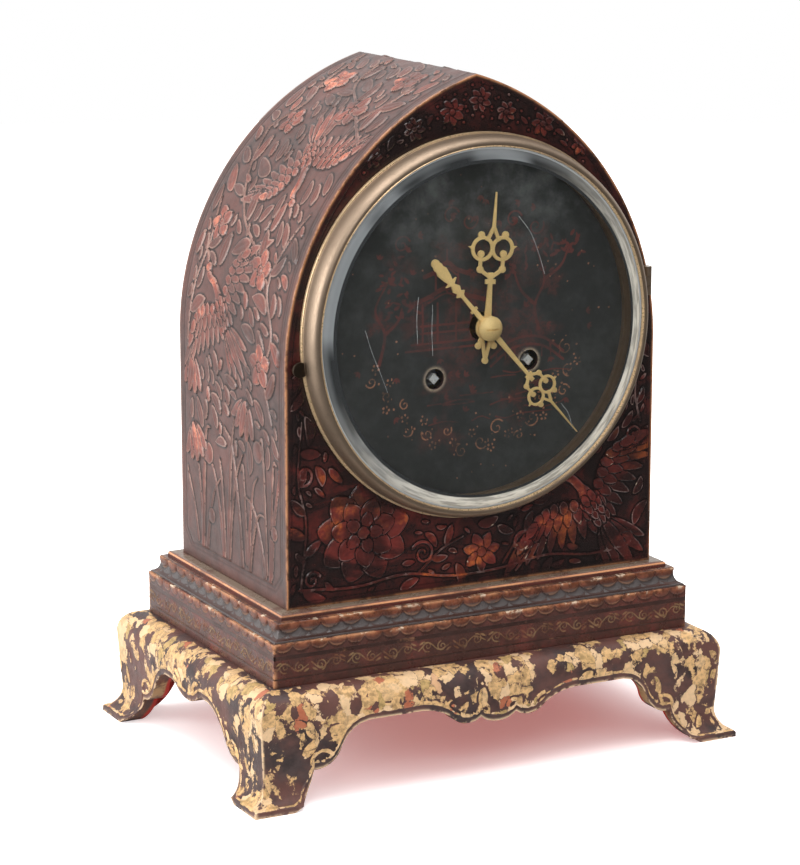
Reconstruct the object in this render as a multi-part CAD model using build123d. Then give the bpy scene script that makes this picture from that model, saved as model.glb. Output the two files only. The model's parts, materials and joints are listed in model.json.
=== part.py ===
from build123d import *
import math
import os

os.makedirs("parts", exist_ok=True)

# Lengths are millimetres, +X right, +Y back, +Z up, and the floor is z = 0 under the middle of the clock.

# Case
case_depth = 122.0
case_side_margin = 7.1
dial_foot_margin = 34.4
dial_above_spring = 14.3
arch_centre_offset = 39.8
case_wall = 9.0
front_board = 10.0
back_board = 9.0
floor_board = 8.0
cut_overrun = 5.0
glue_gap = 0.1

# Plinth
frieze_height = 21.3
frieze_offset = 13.4
frieze_board = 8.0
cove_height = 6.0
cove_foot = 0.8
fascia_height = 3.0
fascia_offset = 8.8
cap_height = 2.7
cap_offset = 6.0
cap_round = 1.6
moulding_inset = 12.0
plinth_board = 8.0

# Stand
stand_height = 55.0
stand_overhang = 15.3
stand_wall = 8.5
stand_ledge_inset = 8.0
knee_radius = 11.0
ankle_offset = 24.5
ankle_height = 14.0
toe_offset = 32.5
toe_height = 2.5
foot_depth = 12.0
front_foot_reach = 12.0
side_foot_reach = 9.0
corner_block_leg = 26.0
corner_block_height = 24.0
mitre_reach = 50.0
toe_curve_shares = (0.24, 0.42)
front_apron_shares = (
    ((0.0, 0.478), (0.049, 0.495), (0.087, 0.544)),
    ((0.087, 0.544), (0.147, 0.498), (0.214, 0.545)),
    ((0.214, 0.545), (0.277, 0.635), (0.371, 0.68)),
    ((0.371, 0.68), (0.5, 0.682), (0.625, 0.68)),
    ((0.625, 0.68), (0.702, 0.622), (0.75, 0.491)),
    ((0.75, 0.491), (0.804, 0.335), (0.879, 0.302)),
    ((0.879, 0.302), (0.92, 0.127), (1.0, 0.0)),
)
side_apron_shares = (
    ((0.0, 0.564), (0.1, 0.58), (0.186, 0.636)),
    ((0.186, 0.636), (0.257, 0.665), (0.371, 0.665)),
    ((0.371, 0.665), (0.514, 0.582), (0.614, 0.436)),
    ((0.614, 0.436), (0.693, 0.32), (0.829, 0.271)),
    ((0.829, 0.271), (0.886, 0.118), (1.0, 0.0)),
)

# Wood screws between stand and plinth
screw_radius = 1.75
screw_head_radius = 3.2
screw_head_height = 2.0
screw_bite = 6.0
screw_inset = 2.0
screw_clearance = 0.1
screw_front_share = 0.7

# Back door and its hinges
back_border = 20.0
back_rail = 14.0
door_gap = 0.8
hinge_leaf = 1.0
hinge_leaf_width = 12.0
hinge_length = 24.0
hinge_knuckle_radius = 1.8
hinge_pin_radius = 0.9
hinge_running_gap = 0.05
hinge_knuckle_gap = 0.15
hinge_low_share = 0.14
hinge_high_share = 0.8
knob_radius = 6.0
knob_neck_radius = 3.0
knob_length = 12.0
knob_from_edge = 14.0
knob_height_share = 0.55

# Dial, seat and bezel, measured outwards from the front face of the case
dial_radius = 85.5
dial_clearance = 0.3
dial_thickness = 2.0
dial_land = 5.5
dial_hole_radius = 7.0
winding_hole_radius = 5.0
seat_lap = 2.5
seat_width = 7.5
seat_height = 2.2
bezel_seat_gap = 2.6
bezel_skirt_wall = 2.3
bezel_gap = 0.4
bezel_bead_height = 2.0
bezel_bead_step = 0.7
bezel_lip = 2.8
bezel_lip_height = 1.8
bezel_lip_width = 1.2
bezel_shoulder_share = 0.62
bezel_round_share = 0.8
glass_pocket_wall = 2.0
glass_clearance = 0.3
glass_play = 0.9
glass_back = 7.0
glass_rim = 2.3
glass_bevel_width = 8.8
glass_bevel_height = 2.8
glass_rise = 8.4
glass_inner_margin = 6.3
glass_thickness = 3.2
retainer_width = 4.6
retainer_height = 1.6

# Bezel hinge and finger tab
bezel_hinge_gap = 1.6
bezel_hinge_out = 3.0
bezel_hinge_rise = 15.0
bezel_hinge_length = 14.0
bezel_knuckle_radius = 1.8
bezel_pin_radius = 0.8
bezel_bracket_plate = 1.2
bezel_notch_gap = 0.5
bezel_leaf_height = 3.0
tab_radius = 3.6
tab_thickness = 1.8
tab_out = 2.6
tab_drop = 12.0
tab_overlap_share = 0.35

# Movement: the train's centre, its plates and its layers
movement_offset = 3.2
bar_thickness = 5.0
bar_width = 10.0
bar_lap = 8.0
bar_land = 6.0
plate_edge = 9.4
plate_thickness = 2.5
plate_back_shake = 3.0
pillar_radius = 3.5
pillar_stub_radius = 1.8
pillar_nut_radius = 4.0
pillar_nut_height = 2.5
pillar_inset = 6.0
pillar_angles = (36.4, 143.6, -75.7, -104.3)
barrel_shake = 1.5
wheel_gap = 3.0
wheel_thickness = 1.5
fine_wheel_thickness = 1.2
third_wheel_depth = 7.5
escape_wheel_depth = 23.5
pinion_overlap = 0.8
end_shake = 0.3
running_gap = 0.05
arbor_radius = 1.3
pivot_radius = 0.8
fine_arbor_radius = 0.8
fine_pivot_radius = 0.5
pivot_stand_out = 0.2

# Tooth forms, as shares of the module and of the pitch
addendum_share = 0.85
dedendum_share = 1.15
wheel_root_share = 0.5
wheel_tip_share = 0.2
pinion_root_share = 0.44
pinion_tip_share = 0.22
rim_share = 0.16
hub_share = 0.26
spoke_share = 0.12

# Tooth counts and modules
barrel_teeth = 80
barrel_module = 0.5
intermediate_leaves = 10
intermediate_teeth = 60
train_gap = 0.57
centre_leaves = 10
centre_teeth = 96
centre_module = 0.32
third_leaves = 8
third_teeth = 96
escape_leaves = 8
escape_teeth = 41
cannon_leaves = 12
minute_teeth = 36
cannon_module = 0.55
minute_leaves = 10
hour_teeth = 40
pin_wheel_leaves = 10
pin_wheel_teeth = 72
pin_wheel_module = 0.4
pin_wheel_pins = 8
fly_leaves = 8
third_angle = 120.0
pin_wheel_angle = 105.0
fly_angle = 100.0

# Barrels and winding arbors
barrel_side_gap = 5.7
going_drop = 18.8
strike_drop = 23.4
barrel_length = 22.0
barrel_flange = 2.5
barrel_drum_step = 0.225
barrel_wall = 1.2
barrel_arbor_radius = 3.0
barrel_pivot_radius = 2.6
barrel_rear_pivot_radius = 2.0
winding_square = 3.8
winding_square_recess = 0.5
ratchet_radius = 8.0
ratchet_tooth_depth = 0.9
ratchet_thickness = 1.6
ratchet_teeth = 30
click_gap = 0.35
click_height = 2.0
click_length = 9.0
spring_turns = 5
spring_steps = 24
spring_strip = 0.8
spring_inner_radius = 6.0
spring_end_gap = 0.4

# Escapement, pendulum and back cock
escape_radius = 12.5
escape_tooth_depth = 2.4
escape_lean_share = 0.35
pallet_hub_gap = 1.5
pallet_gap = 2.4
pallet_span_angle = 40.0
pallet_arm = 2.0
pallet_thickness = 1.4
pallet_hub_radius = 3.0
pallet_hole_radius = 4.0
cock_stand_off = 14.5
cock_thickness = 2.0
cock_width = 26.0
cock_height = 11.0
cock_leg = 4.0
cock_drop_share = 0.5
pendulum_stand_off = 9.5
pendulum_length = 92.4
pendulum_rod_width = 3.0
pendulum_rod_thickness = 1.0
pendulum_collar_radius = 3.5
pendulum_collar_height = 3.0
pendulum_thread_radius = 1.2
pendulum_tail = 24.0
bob_radius = 16.0
bob_thickness = 9.0
bob_edge = 2.0
rating_nut_radius = 4.0
rating_nut_height = 3.0
rating_nut_gap = 0.2
rating_nut_flutes = 12
rating_flute_radius = 0.6

# Strike work behind the back plate
pin_radius = 0.6
pin_length = 2.0
fly_vane_radius = 9.0
fly_vane_thickness = 0.6
fly_vane_length = 12.0
fly_vane_gap = 2.0
hammer_x = 38.0
hammer_drop = 30.0
hammer_stand_off = 13.5
hammer_boss_radius = 3.5
hammer_boss_height = 5.0
hammer_stud_radius = 1.5
hammer_arm_width = 3.0
hammer_arm_thickness = 2.0
hammer_floor_gap = 37.3
hammer_head_radius = 5.0
hammer_head_length = 16.0
gong_gap = 3.4
gong_radius = 2.5
gong_height = 104.0
gong_block_width = 22.0
gong_block_depth = 18.0
gong_block_height = 16.0

# Motion work and hands, in layers outwards from the front face
hour_pipe_radius = 3.0
cannon_pipe_radius = 2.0
centre_arbor_radius = 1.5
cannon_gap = 0.8
cannon_height = 1.8
minute_wheel_gap = 0.2
minute_wheel_thickness = 1.4
hour_wheel_gap = 2.8
hour_wheel_thickness = 1.6
minute_stud_radius = 1.2
minute_stud_height = 8.5
hour_hand_out = 4.2
hand_thickness = 1.0
minute_hand_gap = 1.2
nut_radius = 6.0
nut_height = 4.6
nut_bore_depth = 2.2
nut_slot = 0.9
nut_slot_depth = 1.1
hour_hand_angle = 4.0
minute_hand_angle = 138.5
hour_reach_share = 0.754
hour_hub_radius = 6.0
hour_tail = 17.5
hour_collar_share = 0.341
hour_head_share = 0.586
hour_head_width = 10.8
hour_stem = 3.8
minute_reach_share = 0.854
minute_hub_radius = 5.4
minute_tail_share = 0.589
minute_collar_share = 0.452
minute_head_share = 0.597
minute_head_width = 8.2
minute_stem = 3.0

# Sizes of a hand's pierced head, as shares of the spacing of its two rings
ring_share = 0.56
ring_band_share = 0.15
bud_share = 0.16
bud_drop_share = 0.24
lump_share = 0.16
lump_out_share = 0.6
lump_rise_share = 0.6
spur_out_share = 1.22
spur_rise_share = 0.1
spur_half_share = 0.12
arm_out_share = 0.56
arm_drop_share = 0.92
arm_band_share = 0.17
neck_drop_share = 1.3
leg_rise_share = 0.95
leg_out_share = 0.3
needle_share = 0.16
needle_tip_share = 0.05
collar_share = 0.5
collar_height_share = 0.2
tail_spread_share = 0.7
tail_shares = (0.29, 0.47, 0.55, 0.63, 0.7, 0.8, 0.9, 1.0)
width_shares = (0.55, 0.5, 1.6, 0.6, 1.5, 2.0, 0.9)

# Places worked out from the sizes above
seat_radius = dial_radius + seat_lap
seat_inner_radius = seat_radius - seat_width
dial_opening_radius = dial_radius - dial_land
bezel_skirt_radius = seat_radius + bezel_seat_gap
bezel_radius = bezel_skirt_radius + bezel_skirt_wall
bezel_depth = glass_back + glass_rim + glass_play + bezel_lip_height
bezel_hinge_x = bezel_radius + bezel_hinge_gap
pocket_radius = bezel_skirt_radius - glass_pocket_wall
glass_radius = pocket_radius - glass_clearance
case_width = (bezel_radius + case_side_margin) * 2
dial_height = bezel_radius + dial_foot_margin
side_height = dial_height - dial_above_spring
front_foot_inner = case_width / 2 + front_foot_reach
side_foot_inner = case_depth / 2 + side_foot_reach
hammer_reach = dial_height - hammer_drop - hammer_floor_gap
hour_hand_length = dial_radius * hour_reach_share
minute_hand_length = dial_radius * minute_reach_share
minute_tail = minute_hand_length * minute_tail_share
plate_spacing = barrel_shake + barrel_length + (wheel_gap + wheel_thickness) * 2 + plate_back_shake
front_w = case_depth / 2
back_y = case_depth / 2
frieze_top = stand_height + frieze_height
cove_top = frieze_top + cove_height
fascia_top = cove_top + fascia_height
case_bottom = fascia_top + cap_height
spring_z = case_bottom + side_height
arch_radius = case_width / 2 + arch_centre_offset
dial_z = case_bottom + dial_height
plate1_front_w = front_w - front_board - bar_thickness
plate1_back_w = plate1_front_w - plate_thickness
plate2_front_w = plate1_back_w - plate_spacing
plate2_back_w = plate2_front_w - plate_thickness
barrel_front_w = plate1_back_w - barrel_shake
barrel_back_w = barrel_front_w - barrel_length
intermediate_w = barrel_back_w - wheel_gap - wheel_thickness
centre_wheel_w = intermediate_w - wheel_gap - wheel_thickness
third_wheel_w = plate1_back_w - third_wheel_depth - fine_wheel_thickness
escape_wheel_w = plate1_back_w - escape_wheel_depth - fine_wheel_thickness
flange_top_w = barrel_back_w + barrel_flange
tail_w = plate2_back_w - pendulum_stand_off


def mesh_distance(teeth_a, teeth_b, module):
    """Distance between the axes of two wheels in mesh."""
    return (teeth_a + teeth_b) * module / 2


def polar(radius, degrees):
    """Point at a radius and an angle, anticlockwise from the right as seen from the front."""
    return (radius * math.cos(math.radians(degrees)), radius * math.sin(math.radians(degrees)))


def meet(first, first_reach, second, second_reach):
    """Point at two given distances from two points, on the left of the line from first to second."""
    dx = second[0] - first[0]
    dy = second[1] - first[1]
    gap = math.hypot(dx, dy)
    along = (first_reach**2 - second_reach**2 + gap**2) / (2 * gap)
    across = math.sqrt(first_reach**2 - along**2)
    return (
        first[0] + (along * dx - across * dy) / gap,
        first[1] + (along * dy + across * dx) / gap,
    )


def tip_radius(teeth, module):
    """Radius of a wheel at the tips of its teeth."""
    return teeth * module / 2 + addendum_share * module


# Axes of the train, right and up from the movement's centre
barrel_side = barrel_teeth * barrel_module / 2 + barrel_side_gap
barrel_drum_radius = (barrel_teeth / 2 - dedendum_share) * barrel_module - barrel_drum_step
intermediate_reach = tip_radius(centre_teeth, centre_module) + arbor_radius + train_gap
intermediate_module = intermediate_reach * 2 / (intermediate_teeth + centre_leaves)
third_reach = mesh_distance(centre_teeth, third_leaves, centre_module)
third_module = (third_reach - centre_arbor_radius - train_gap) / (third_teeth / 2 + addendum_share)
pallet_rise = escape_radius + pallet_hub_radius + pallet_hub_gap
centre_axis = (0.0, 0.0)
going_axis = (barrel_side, -going_drop)
strike_axis = (-barrel_side, -strike_drop)
intermediate_axis = meet(
    centre_axis,
    intermediate_reach,
    going_axis,
    mesh_distance(barrel_teeth, intermediate_leaves, barrel_module),
)
third_axis = polar(third_reach, third_angle)
third_to_escape = mesh_distance(third_teeth, escape_leaves, third_module)
escape_axis = (0.0, third_axis[1] + math.sqrt(third_to_escape**2 - third_axis[0] ** 2))
pallet_axis = (0.0, escape_axis[1] + pallet_rise)
minute_axis = (0.0, mesh_distance(cannon_leaves, minute_teeth, cannon_module))
hour_module = 2 * minute_axis[1] / (minute_leaves + hour_teeth)
pin_offset = polar(mesh_distance(barrel_teeth, pin_wheel_leaves, barrel_module), pin_wheel_angle)
pin_axis = (strike_axis[0] + pin_offset[0], strike_axis[1] + pin_offset[1])
fly_offset = polar(mesh_distance(pin_wheel_teeth, fly_leaves, pin_wheel_module), fly_angle)
fly_axis = (pin_axis[0] + fly_offset[0], pin_axis[1] + fly_offset[1])
hammer_axis = (-hammer_x, -hammer_drop)
plate_radius = pallet_axis[1] + plate_edge
bar_spacing = (plate_radius - bar_lap) * 2
bar_half_chord = math.sqrt(dial_opening_radius**2 - (bar_spacing / 2) ** 2)
bar_length = (bar_half_chord + bar_land) * 2
pillar_places = [polar(plate_radius - pillar_inset, angle) for angle in pillar_angles]


def save(name, *shapes):
    """Write one node, as one solid or as a group of separate solids."""
    solids = [solid for shape in shapes for solid in shape.solids()]
    body = solids[0] if len(solids) == 1 else Compound(solids)
    export_step(body, f"parts/{name}.step")


def facing_front(shape, x=0.0, z=0.0):
    """Turn a shape drawn facing the viewer so that its own z runs from the clock's middle to its front."""
    return Pos(x, 0, z) * Rot(90, 0, 0) * shape


def in_movement(shape, axis=centre_axis):
    """Place a shape drawn facing the viewer on an axis of the movement."""
    return facing_front(shape, movement_offset + axis[0], dial_z + axis[1])


def slab(face, low, high):
    """Extrude a flat face between two levels."""
    return Pos(0, 0, low) * extrude(face, amount=high - low)


def disc(radius, low, high):
    """Upright cylinder between two levels."""
    return slab(Circle(radius), low, high)


def box_between(low, high):
    """Box from its lowest to its highest corner."""
    size = [b - a for a, b in zip(low, high)]
    middle = [(a + b) / 2 for a, b in zip(low, high)]
    return Pos(*middle) * Box(*size)


# Case


def arch_face(inset, bottom):
    """Pointed arch outline, set in from the case's outline, with its foot at a height."""
    half = case_width / 2 - inset
    radius = arch_radius - inset
    apex = spring_z + math.sqrt(radius**2 - arch_centre_offset**2)
    middle = (math.pi + math.acos(-arch_centre_offset / radius)) / 2
    shoulder_x = arch_centre_offset + radius * math.cos(middle)
    shoulder_z = spring_z + radius * math.sin(middle)
    edges = [
        Line((-half, bottom), (-half, spring_z)),
        ThreePointArc((-half, spring_z), (shoulder_x, shoulder_z), (0, apex)),
        ThreePointArc((0, apex), (-shoulder_x, shoulder_z), (half, spring_z)),
        Line((half, spring_z), (half, bottom)),
        Line((half, bottom), (-half, bottom)),
    ]
    return make_face(edges)


def make_case():
    """Front panel, two bent sides, back frame and floor."""
    outline = arch_face(0, case_bottom)
    front_back_w = front_w - front_board
    panel = slab(outline, front_back_w, front_w)
    panel -= Pos(0, dial_z) * disc(dial_opening_radius, front_back_w - cut_overrun, front_w + cut_overrun)
    rabbet = disc(dial_radius + dial_clearance, front_w - dial_thickness, front_w + cut_overrun)
    panel -= Pos(0, dial_z) * rabbet
    save("case_front_panel", facing_front(panel))

    side_back_w = back_board - back_y
    shell = slab(outline - arch_face(case_wall, case_bottom - cut_overrun), side_back_w, front_back_w)
    half = box_between(
        (-case_width, case_bottom - cut_overrun, -case_depth),
        (0, case_bottom + case_width * 2, case_depth),
    )
    save("case_side_left", facing_front(shell & half))
    save("case_side_right", facing_front(shell - half))

    opening = arch_face(back_border, case_bottom + back_rail)
    save("case_back_frame", facing_front(slab(outline - opening, -back_y, side_back_w)))

    floor_half = case_width / 2 - case_wall - glue_gap
    save(
        "case_floor",
        box_between(
            (-floor_half, -front_back_w + glue_gap, case_bottom),
            (floor_half, -side_back_w - glue_gap, case_bottom + floor_board),
        ),
    )


def make_back_door():
    """Arched door in the back frame, with two butt hinges on its left edge and a turned knob."""
    leaf = arch_face(back_border + door_gap, case_bottom + back_rail + door_gap)
    save("back_door", facing_front(slab(leaf, -back_y, back_board - back_y)))

    axis_x = -(case_width / 2 - back_border - door_gap / 2)
    axis_y = back_y + hinge_knuckle_radius
    third = hinge_length / 3
    case_leaves = []
    door_leaves = []
    pins = []
    for share in (hinge_low_share, hinge_high_share):
        low = case_bottom + back_rail + share * (side_height - back_rail)
        barrel = Pos(axis_x, axis_y, low) * disc(hinge_knuckle_radius, 0, hinge_length)
        pin = Pos(axis_x, axis_y, low) * disc(hinge_pin_radius, 0, hinge_length)
        running_bore = Pos(axis_x, axis_y, low) * disc(
            hinge_pin_radius + hinge_running_gap, 0, hinge_length
        )
        middle = box_between(
            (axis_x - hinge_leaf_width, back_y, low + third),
            (axis_x + hinge_leaf_width, axis_y + hinge_leaf_width, low + third * 2),
        )
        play = box_between(
            (axis_x - hinge_leaf_width, back_y, low + third + hinge_knuckle_gap),
            (axis_x + hinge_leaf_width, axis_y + hinge_leaf_width, low + third * 2 - hinge_knuckle_gap),
        )
        case_plate = box_between(
            (axis_x - hinge_leaf_width, back_y, low),
            (axis_x - hinge_knuckle_radius - hinge_running_gap, back_y + hinge_leaf, low + hinge_length),
        )
        door_plate = box_between(
            (axis_x + hinge_knuckle_radius + hinge_running_gap, back_y, low),
            (axis_x + hinge_leaf_width, back_y + hinge_leaf, low + hinge_length),
        )
        case_bridge = box_between(
            (axis_x - hinge_leaf_width / 2, back_y, low), (axis_x, back_y + hinge_leaf, low + hinge_length)
        )
        door_bridge = box_between(
            (axis_x, back_y, low), (axis_x + hinge_leaf_width / 2, back_y + hinge_leaf, low + hinge_length)
        )
        case_leaves.append(case_plate + ((barrel + case_bridge) - middle) - pin)
        door_leaves.append(door_plate + ((barrel + door_bridge) & play) - running_bore)
        pins.append(pin)
    save("back_hinge_case_leaves", *case_leaves)
    save("back_hinge_door_leaves", *door_leaves)
    save("back_hinge_pins", *pins)

    knob_x = case_width / 2 - back_border - door_gap - knob_from_edge
    knob_z = case_bottom + back_rail + knob_height_share * (side_height - back_rail)
    neck_end = knob_length - knob_radius
    knob = lathe(
        [
            Line((0, 0), (knob_radius, 0)),
            Line((knob_radius, 0), (knob_radius, hinge_leaf)),
            Line((knob_radius, hinge_leaf), (knob_neck_radius, hinge_leaf)),
            Line((knob_neck_radius, hinge_leaf), (knob_neck_radius, neck_end)),
            ThreePointArc(
                (knob_neck_radius, neck_end),
                (knob_radius, neck_end + knob_radius / 2),
                (knob_neck_radius, knob_length),
            ),
            Line((knob_neck_radius, knob_length), (0, knob_length)),
            Line((0, knob_length), (0, 0)),
        ]
    )
    save("back_door_knob", Pos(knob_x, back_y, knob_z) * Rot(-90, 0, 0) * knob)


# Plinth and stand

side_planes = {
    "front": Plane(origin=(0, -front_w, 0), x_dir=(0, -1, 0), z_dir=(-1, 0, 0)),
    "back": Plane(origin=(0, back_y, 0), x_dir=(0, 1, 0), z_dir=(1, 0, 0)),
    "left": Plane(origin=(-case_width / 2, 0, 0), x_dir=(-1, 0, 0), z_dir=(0, 1, 0)),
    "right": Plane(origin=(case_width / 2, 0, 0), x_dir=(1, 0, 0), z_dir=(0, -1, 0)),
}
side_halves = {
    "front": case_width / 2,
    "back": case_width / 2,
    "left": case_depth / 2,
    "right": case_depth / 2,
}


def mitred(section, side):
    """Run a section, drawn as offset outwards and height, along one side of the case, mitred at its ends."""
    half = side_halves[side]
    reach = half + mitre_reach
    wedge = make_face(
        Polyline(
            (mitre_reach, 0, -half - mitre_reach),
            (mitre_reach, 0, half + mitre_reach),
            (-mitre_reach, 0, half - mitre_reach),
            (-mitre_reach, 0, mitre_reach - half),
            close=True,
        )
    )
    stick = extrude(section, amount=reach, both=True)
    return stick & extrude(wedge, amount=case_bottom, dir=(0, 1, 0), both=True)


def frame_of(section):
    """Four mitred sticks round the case."""
    return [side_planes[side] * mitred(section, side) for side in side_planes]


def polygon(*points):
    """Flat face with straight edges."""
    return make_face(Polyline(*points, close=True))


def make_plinth():
    """Frieze, cove with its fascia, cap, and the board inside the frieze."""
    frieze_inner = frieze_offset - frieze_board
    save(
        "plinth_frieze",
        *frame_of(
            polygon(
                (frieze_inner, stand_height),
                (frieze_offset, stand_height),
                (frieze_offset, frieze_top),
                (frieze_inner, frieze_top),
            )
        ),
    )

    cove_run = frieze_offset - cove_foot - fascia_offset
    cove_bend = math.sqrt(0.5)
    cove_mid = (
        frieze_offset - cove_foot - cove_run * cove_bend,
        cove_top - (cove_height - cove_foot) * cove_bend,
    )
    save(
        "plinth_moulding",
        *frame_of(
            make_face(
                [
                    Line((-moulding_inset, frieze_top), (frieze_offset - cove_foot, frieze_top)),
                    Line(
                        (frieze_offset - cove_foot, frieze_top),
                        (frieze_offset - cove_foot, frieze_top + cove_foot),
                    ),
                    ThreePointArc(
                        (frieze_offset - cove_foot, frieze_top + cove_foot),
                        cove_mid,
                        (fascia_offset, cove_top),
                    ),
                    Line((fascia_offset, cove_top), (fascia_offset, fascia_top)),
                    Line((fascia_offset, fascia_top), (-moulding_inset, fascia_top)),
                    Line((-moulding_inset, fascia_top), (-moulding_inset, frieze_top)),
                ]
            )
        ),
    )

    round_in = cap_offset - cap_round
    round_bend = cap_round * math.sqrt(0.5)
    save(
        "plinth_cap",
        *frame_of(
            make_face(
                [
                    Line((-moulding_inset, fascia_top), (cap_offset, fascia_top)),
                    Line((cap_offset, fascia_top), (cap_offset, case_bottom - cap_round)),
                    ThreePointArc(
                        (cap_offset, case_bottom - cap_round),
                        (round_in + round_bend, case_bottom - cap_round + round_bend),
                        (round_in, case_bottom),
                    ),
                    Line((round_in, case_bottom), (-moulding_inset, case_bottom)),
                    Line((-moulding_inset, case_bottom), (-moulding_inset, fascia_top)),
                ]
            )
        ),
    )

    half_x = case_width / 2 + frieze_inner - glue_gap
    half_y = case_depth / 2 + frieze_inner - glue_gap
    board = box_between((-half_x, -half_y, stand_height), (half_x, half_y, stand_height + plinth_board))
    for x, y in screw_places():
        board -= Pos(x, y, stand_height) * disc(screw_radius, 0, screw_bite)
    save("plinth_floor", board)


def screw_places():
    """Screws up through the stand's ledge: two front, two back and one each side."""
    x = case_width / 2 - screw_inset
    y = case_depth / 2 - screw_inset
    places = [(a * screw_front_share * x, b * y) for a in (-1, 1) for b in (-1, 1)]
    return places + [(a * x, 0) for a in (-1, 1)]


def stand_section():
    """Ogee section of the stand: ledge, rounded knee, ankle and flared toe, drawn from the case's face."""
    knee = (stand_overhang + knee_radius, stand_height - knee_radius)
    knee_bend = math.sqrt(0.5)
    inner_radius = knee_radius - stand_wall
    toe_run = toe_offset - ankle_offset
    toe_fall = ankle_height - toe_height
    toe_mid = (
        ankle_offset + toe_curve_shares[0] * toe_run,
        toe_height + toe_curve_shares[1] * toe_fall,
    )
    return make_face(
        [
            Line((-stand_ledge_inset, stand_height), (stand_overhang, stand_height)),
            ThreePointArc(
                (stand_overhang, stand_height),
                (stand_overhang + knee_radius * knee_bend, knee[1] + knee_radius * knee_bend),
                knee,
            ),
            Line(knee, (ankle_offset, ankle_height)),
            ThreePointArc((ankle_offset, ankle_height), toe_mid, (toe_offset, toe_height)),
            Line((toe_offset, toe_height), (toe_offset, 0)),
            Line((toe_offset, 0), (toe_offset - foot_depth, 0)),
            Line((toe_offset - foot_depth, 0), (ankle_offset - stand_wall, ankle_height)),
            Line((ankle_offset - stand_wall, ankle_height), (knee[0] - stand_wall, knee[1])),
            ThreePointArc(
                (knee[0] - stand_wall, knee[1]),
                (stand_overhang + inner_radius * knee_bend, knee[1] + inner_radius * knee_bend),
                (stand_overhang, stand_height - stand_wall),
            ),
            Line(
                (stand_overhang, stand_height - stand_wall),
                (-stand_ledge_inset, stand_height - stand_wall),
            ),
            Line((-stand_ledge_inset, stand_height - stand_wall), (-stand_ledge_inset, stand_height)),
        ]
    )


def apron_cut(arc_shares, foot_inner):
    """Space under an apron between its feet, as a prism through the board."""

    def place(share, way):
        return (0, share[1] * stand_height, way * share[0] * foot_inner)

    edges = []
    for way in (-1, 1):
        for start, middle, end in arc_shares:
            edges.append(ThreePointArc(place(start, way), place(middle, way), place(end, way)))
        edges.append(Line((0, 0, way * foot_inner), (0, -cut_overrun, way * foot_inner)))
    edges.append(Line((0, -cut_overrun, -foot_inner), (0, -cut_overrun, foot_inner)))
    return extrude(make_face(edges), amount=mitre_reach, dir=(1, 0, 0), both=True)


def make_stand():
    """Four apron boards with bracket feet, corner blocks and the screws into the plinth."""
    section = stand_section()
    holes = [
        Pos(x, y, 0) * disc(screw_radius + screw_clearance, 0, stand_height + cut_overrun)
        for x, y in screw_places()
    ]
    for side in side_planes:
        along = front_foot_inner if side in ("front", "back") else side_foot_inner
        shares = front_apron_shares if side in ("front", "back") else side_apron_shares
        board = side_planes[side] * (mitred(section, side) - apron_cut(shares, along))
        for hole in holes:
            board -= hole
        save(f"stand_{side}", board)

    ledge_z = stand_height - stand_wall
    corner_x = case_width / 2 + stand_overhang - glue_gap
    corner_y = case_depth / 2 + stand_overhang - glue_gap
    block = slab(
        polygon((0, 0), (-corner_block_leg, 0), (0, -corner_block_leg)),
        ledge_z - corner_block_height,
        ledge_z,
    )
    blocks = []
    for way_x in (-1, 1):
        for way_y in (-1, 1):
            turned = block
            if way_x < 0:
                turned = mirror(turned, Plane.YZ)
            if way_y < 0:
                turned = mirror(turned, Plane.XZ)
            blocks.append(Pos(way_x * corner_x, way_y * corner_y, 0) * turned)
    save("stand_corner_blocks", *blocks)

    screws = []
    for x, y in screw_places():
        head = disc(screw_head_radius, ledge_z - screw_head_height, ledge_z)
        shank = disc(screw_radius, ledge_z - screw_head_height, stand_height + screw_bite)
        screws.append(Pos(x, y, 0) * (head + shank))
    save("base_screws", *screws)


# Dial and bezel


def lathe(edges):
    """Turn a profile, drawn as radius and level, about its own axis."""
    return revolve(Plane.XZ * make_face(edges), Axis.Z)


def on_dial(shape):
    """Place a shape whose levels are measured outwards from the case's front face."""
    return facing_front(Pos(0, 0, front_w) * shape, 0, dial_z)


def make_dial():
    """Dial plate in the front panel's rabbet, and the flat seat ring that holds its edge."""
    plate = disc(dial_radius, -dial_thickness, 0)
    holes = [(centre_axis, dial_hole_radius)]
    holes += [(axis, winding_hole_radius) for axis in (going_axis, strike_axis)]
    for axis, radius in holes:
        plate -= Pos(movement_offset + axis[0], axis[1], 0) * disc(radius, -cut_overrun, cut_overrun)
    save("dial_plate", on_dial(plate))
    seat = disc(seat_radius, 0, seat_height) - disc(seat_inner_radius, 0, seat_height)
    save("bezel_seat", on_dial(seat))


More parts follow.
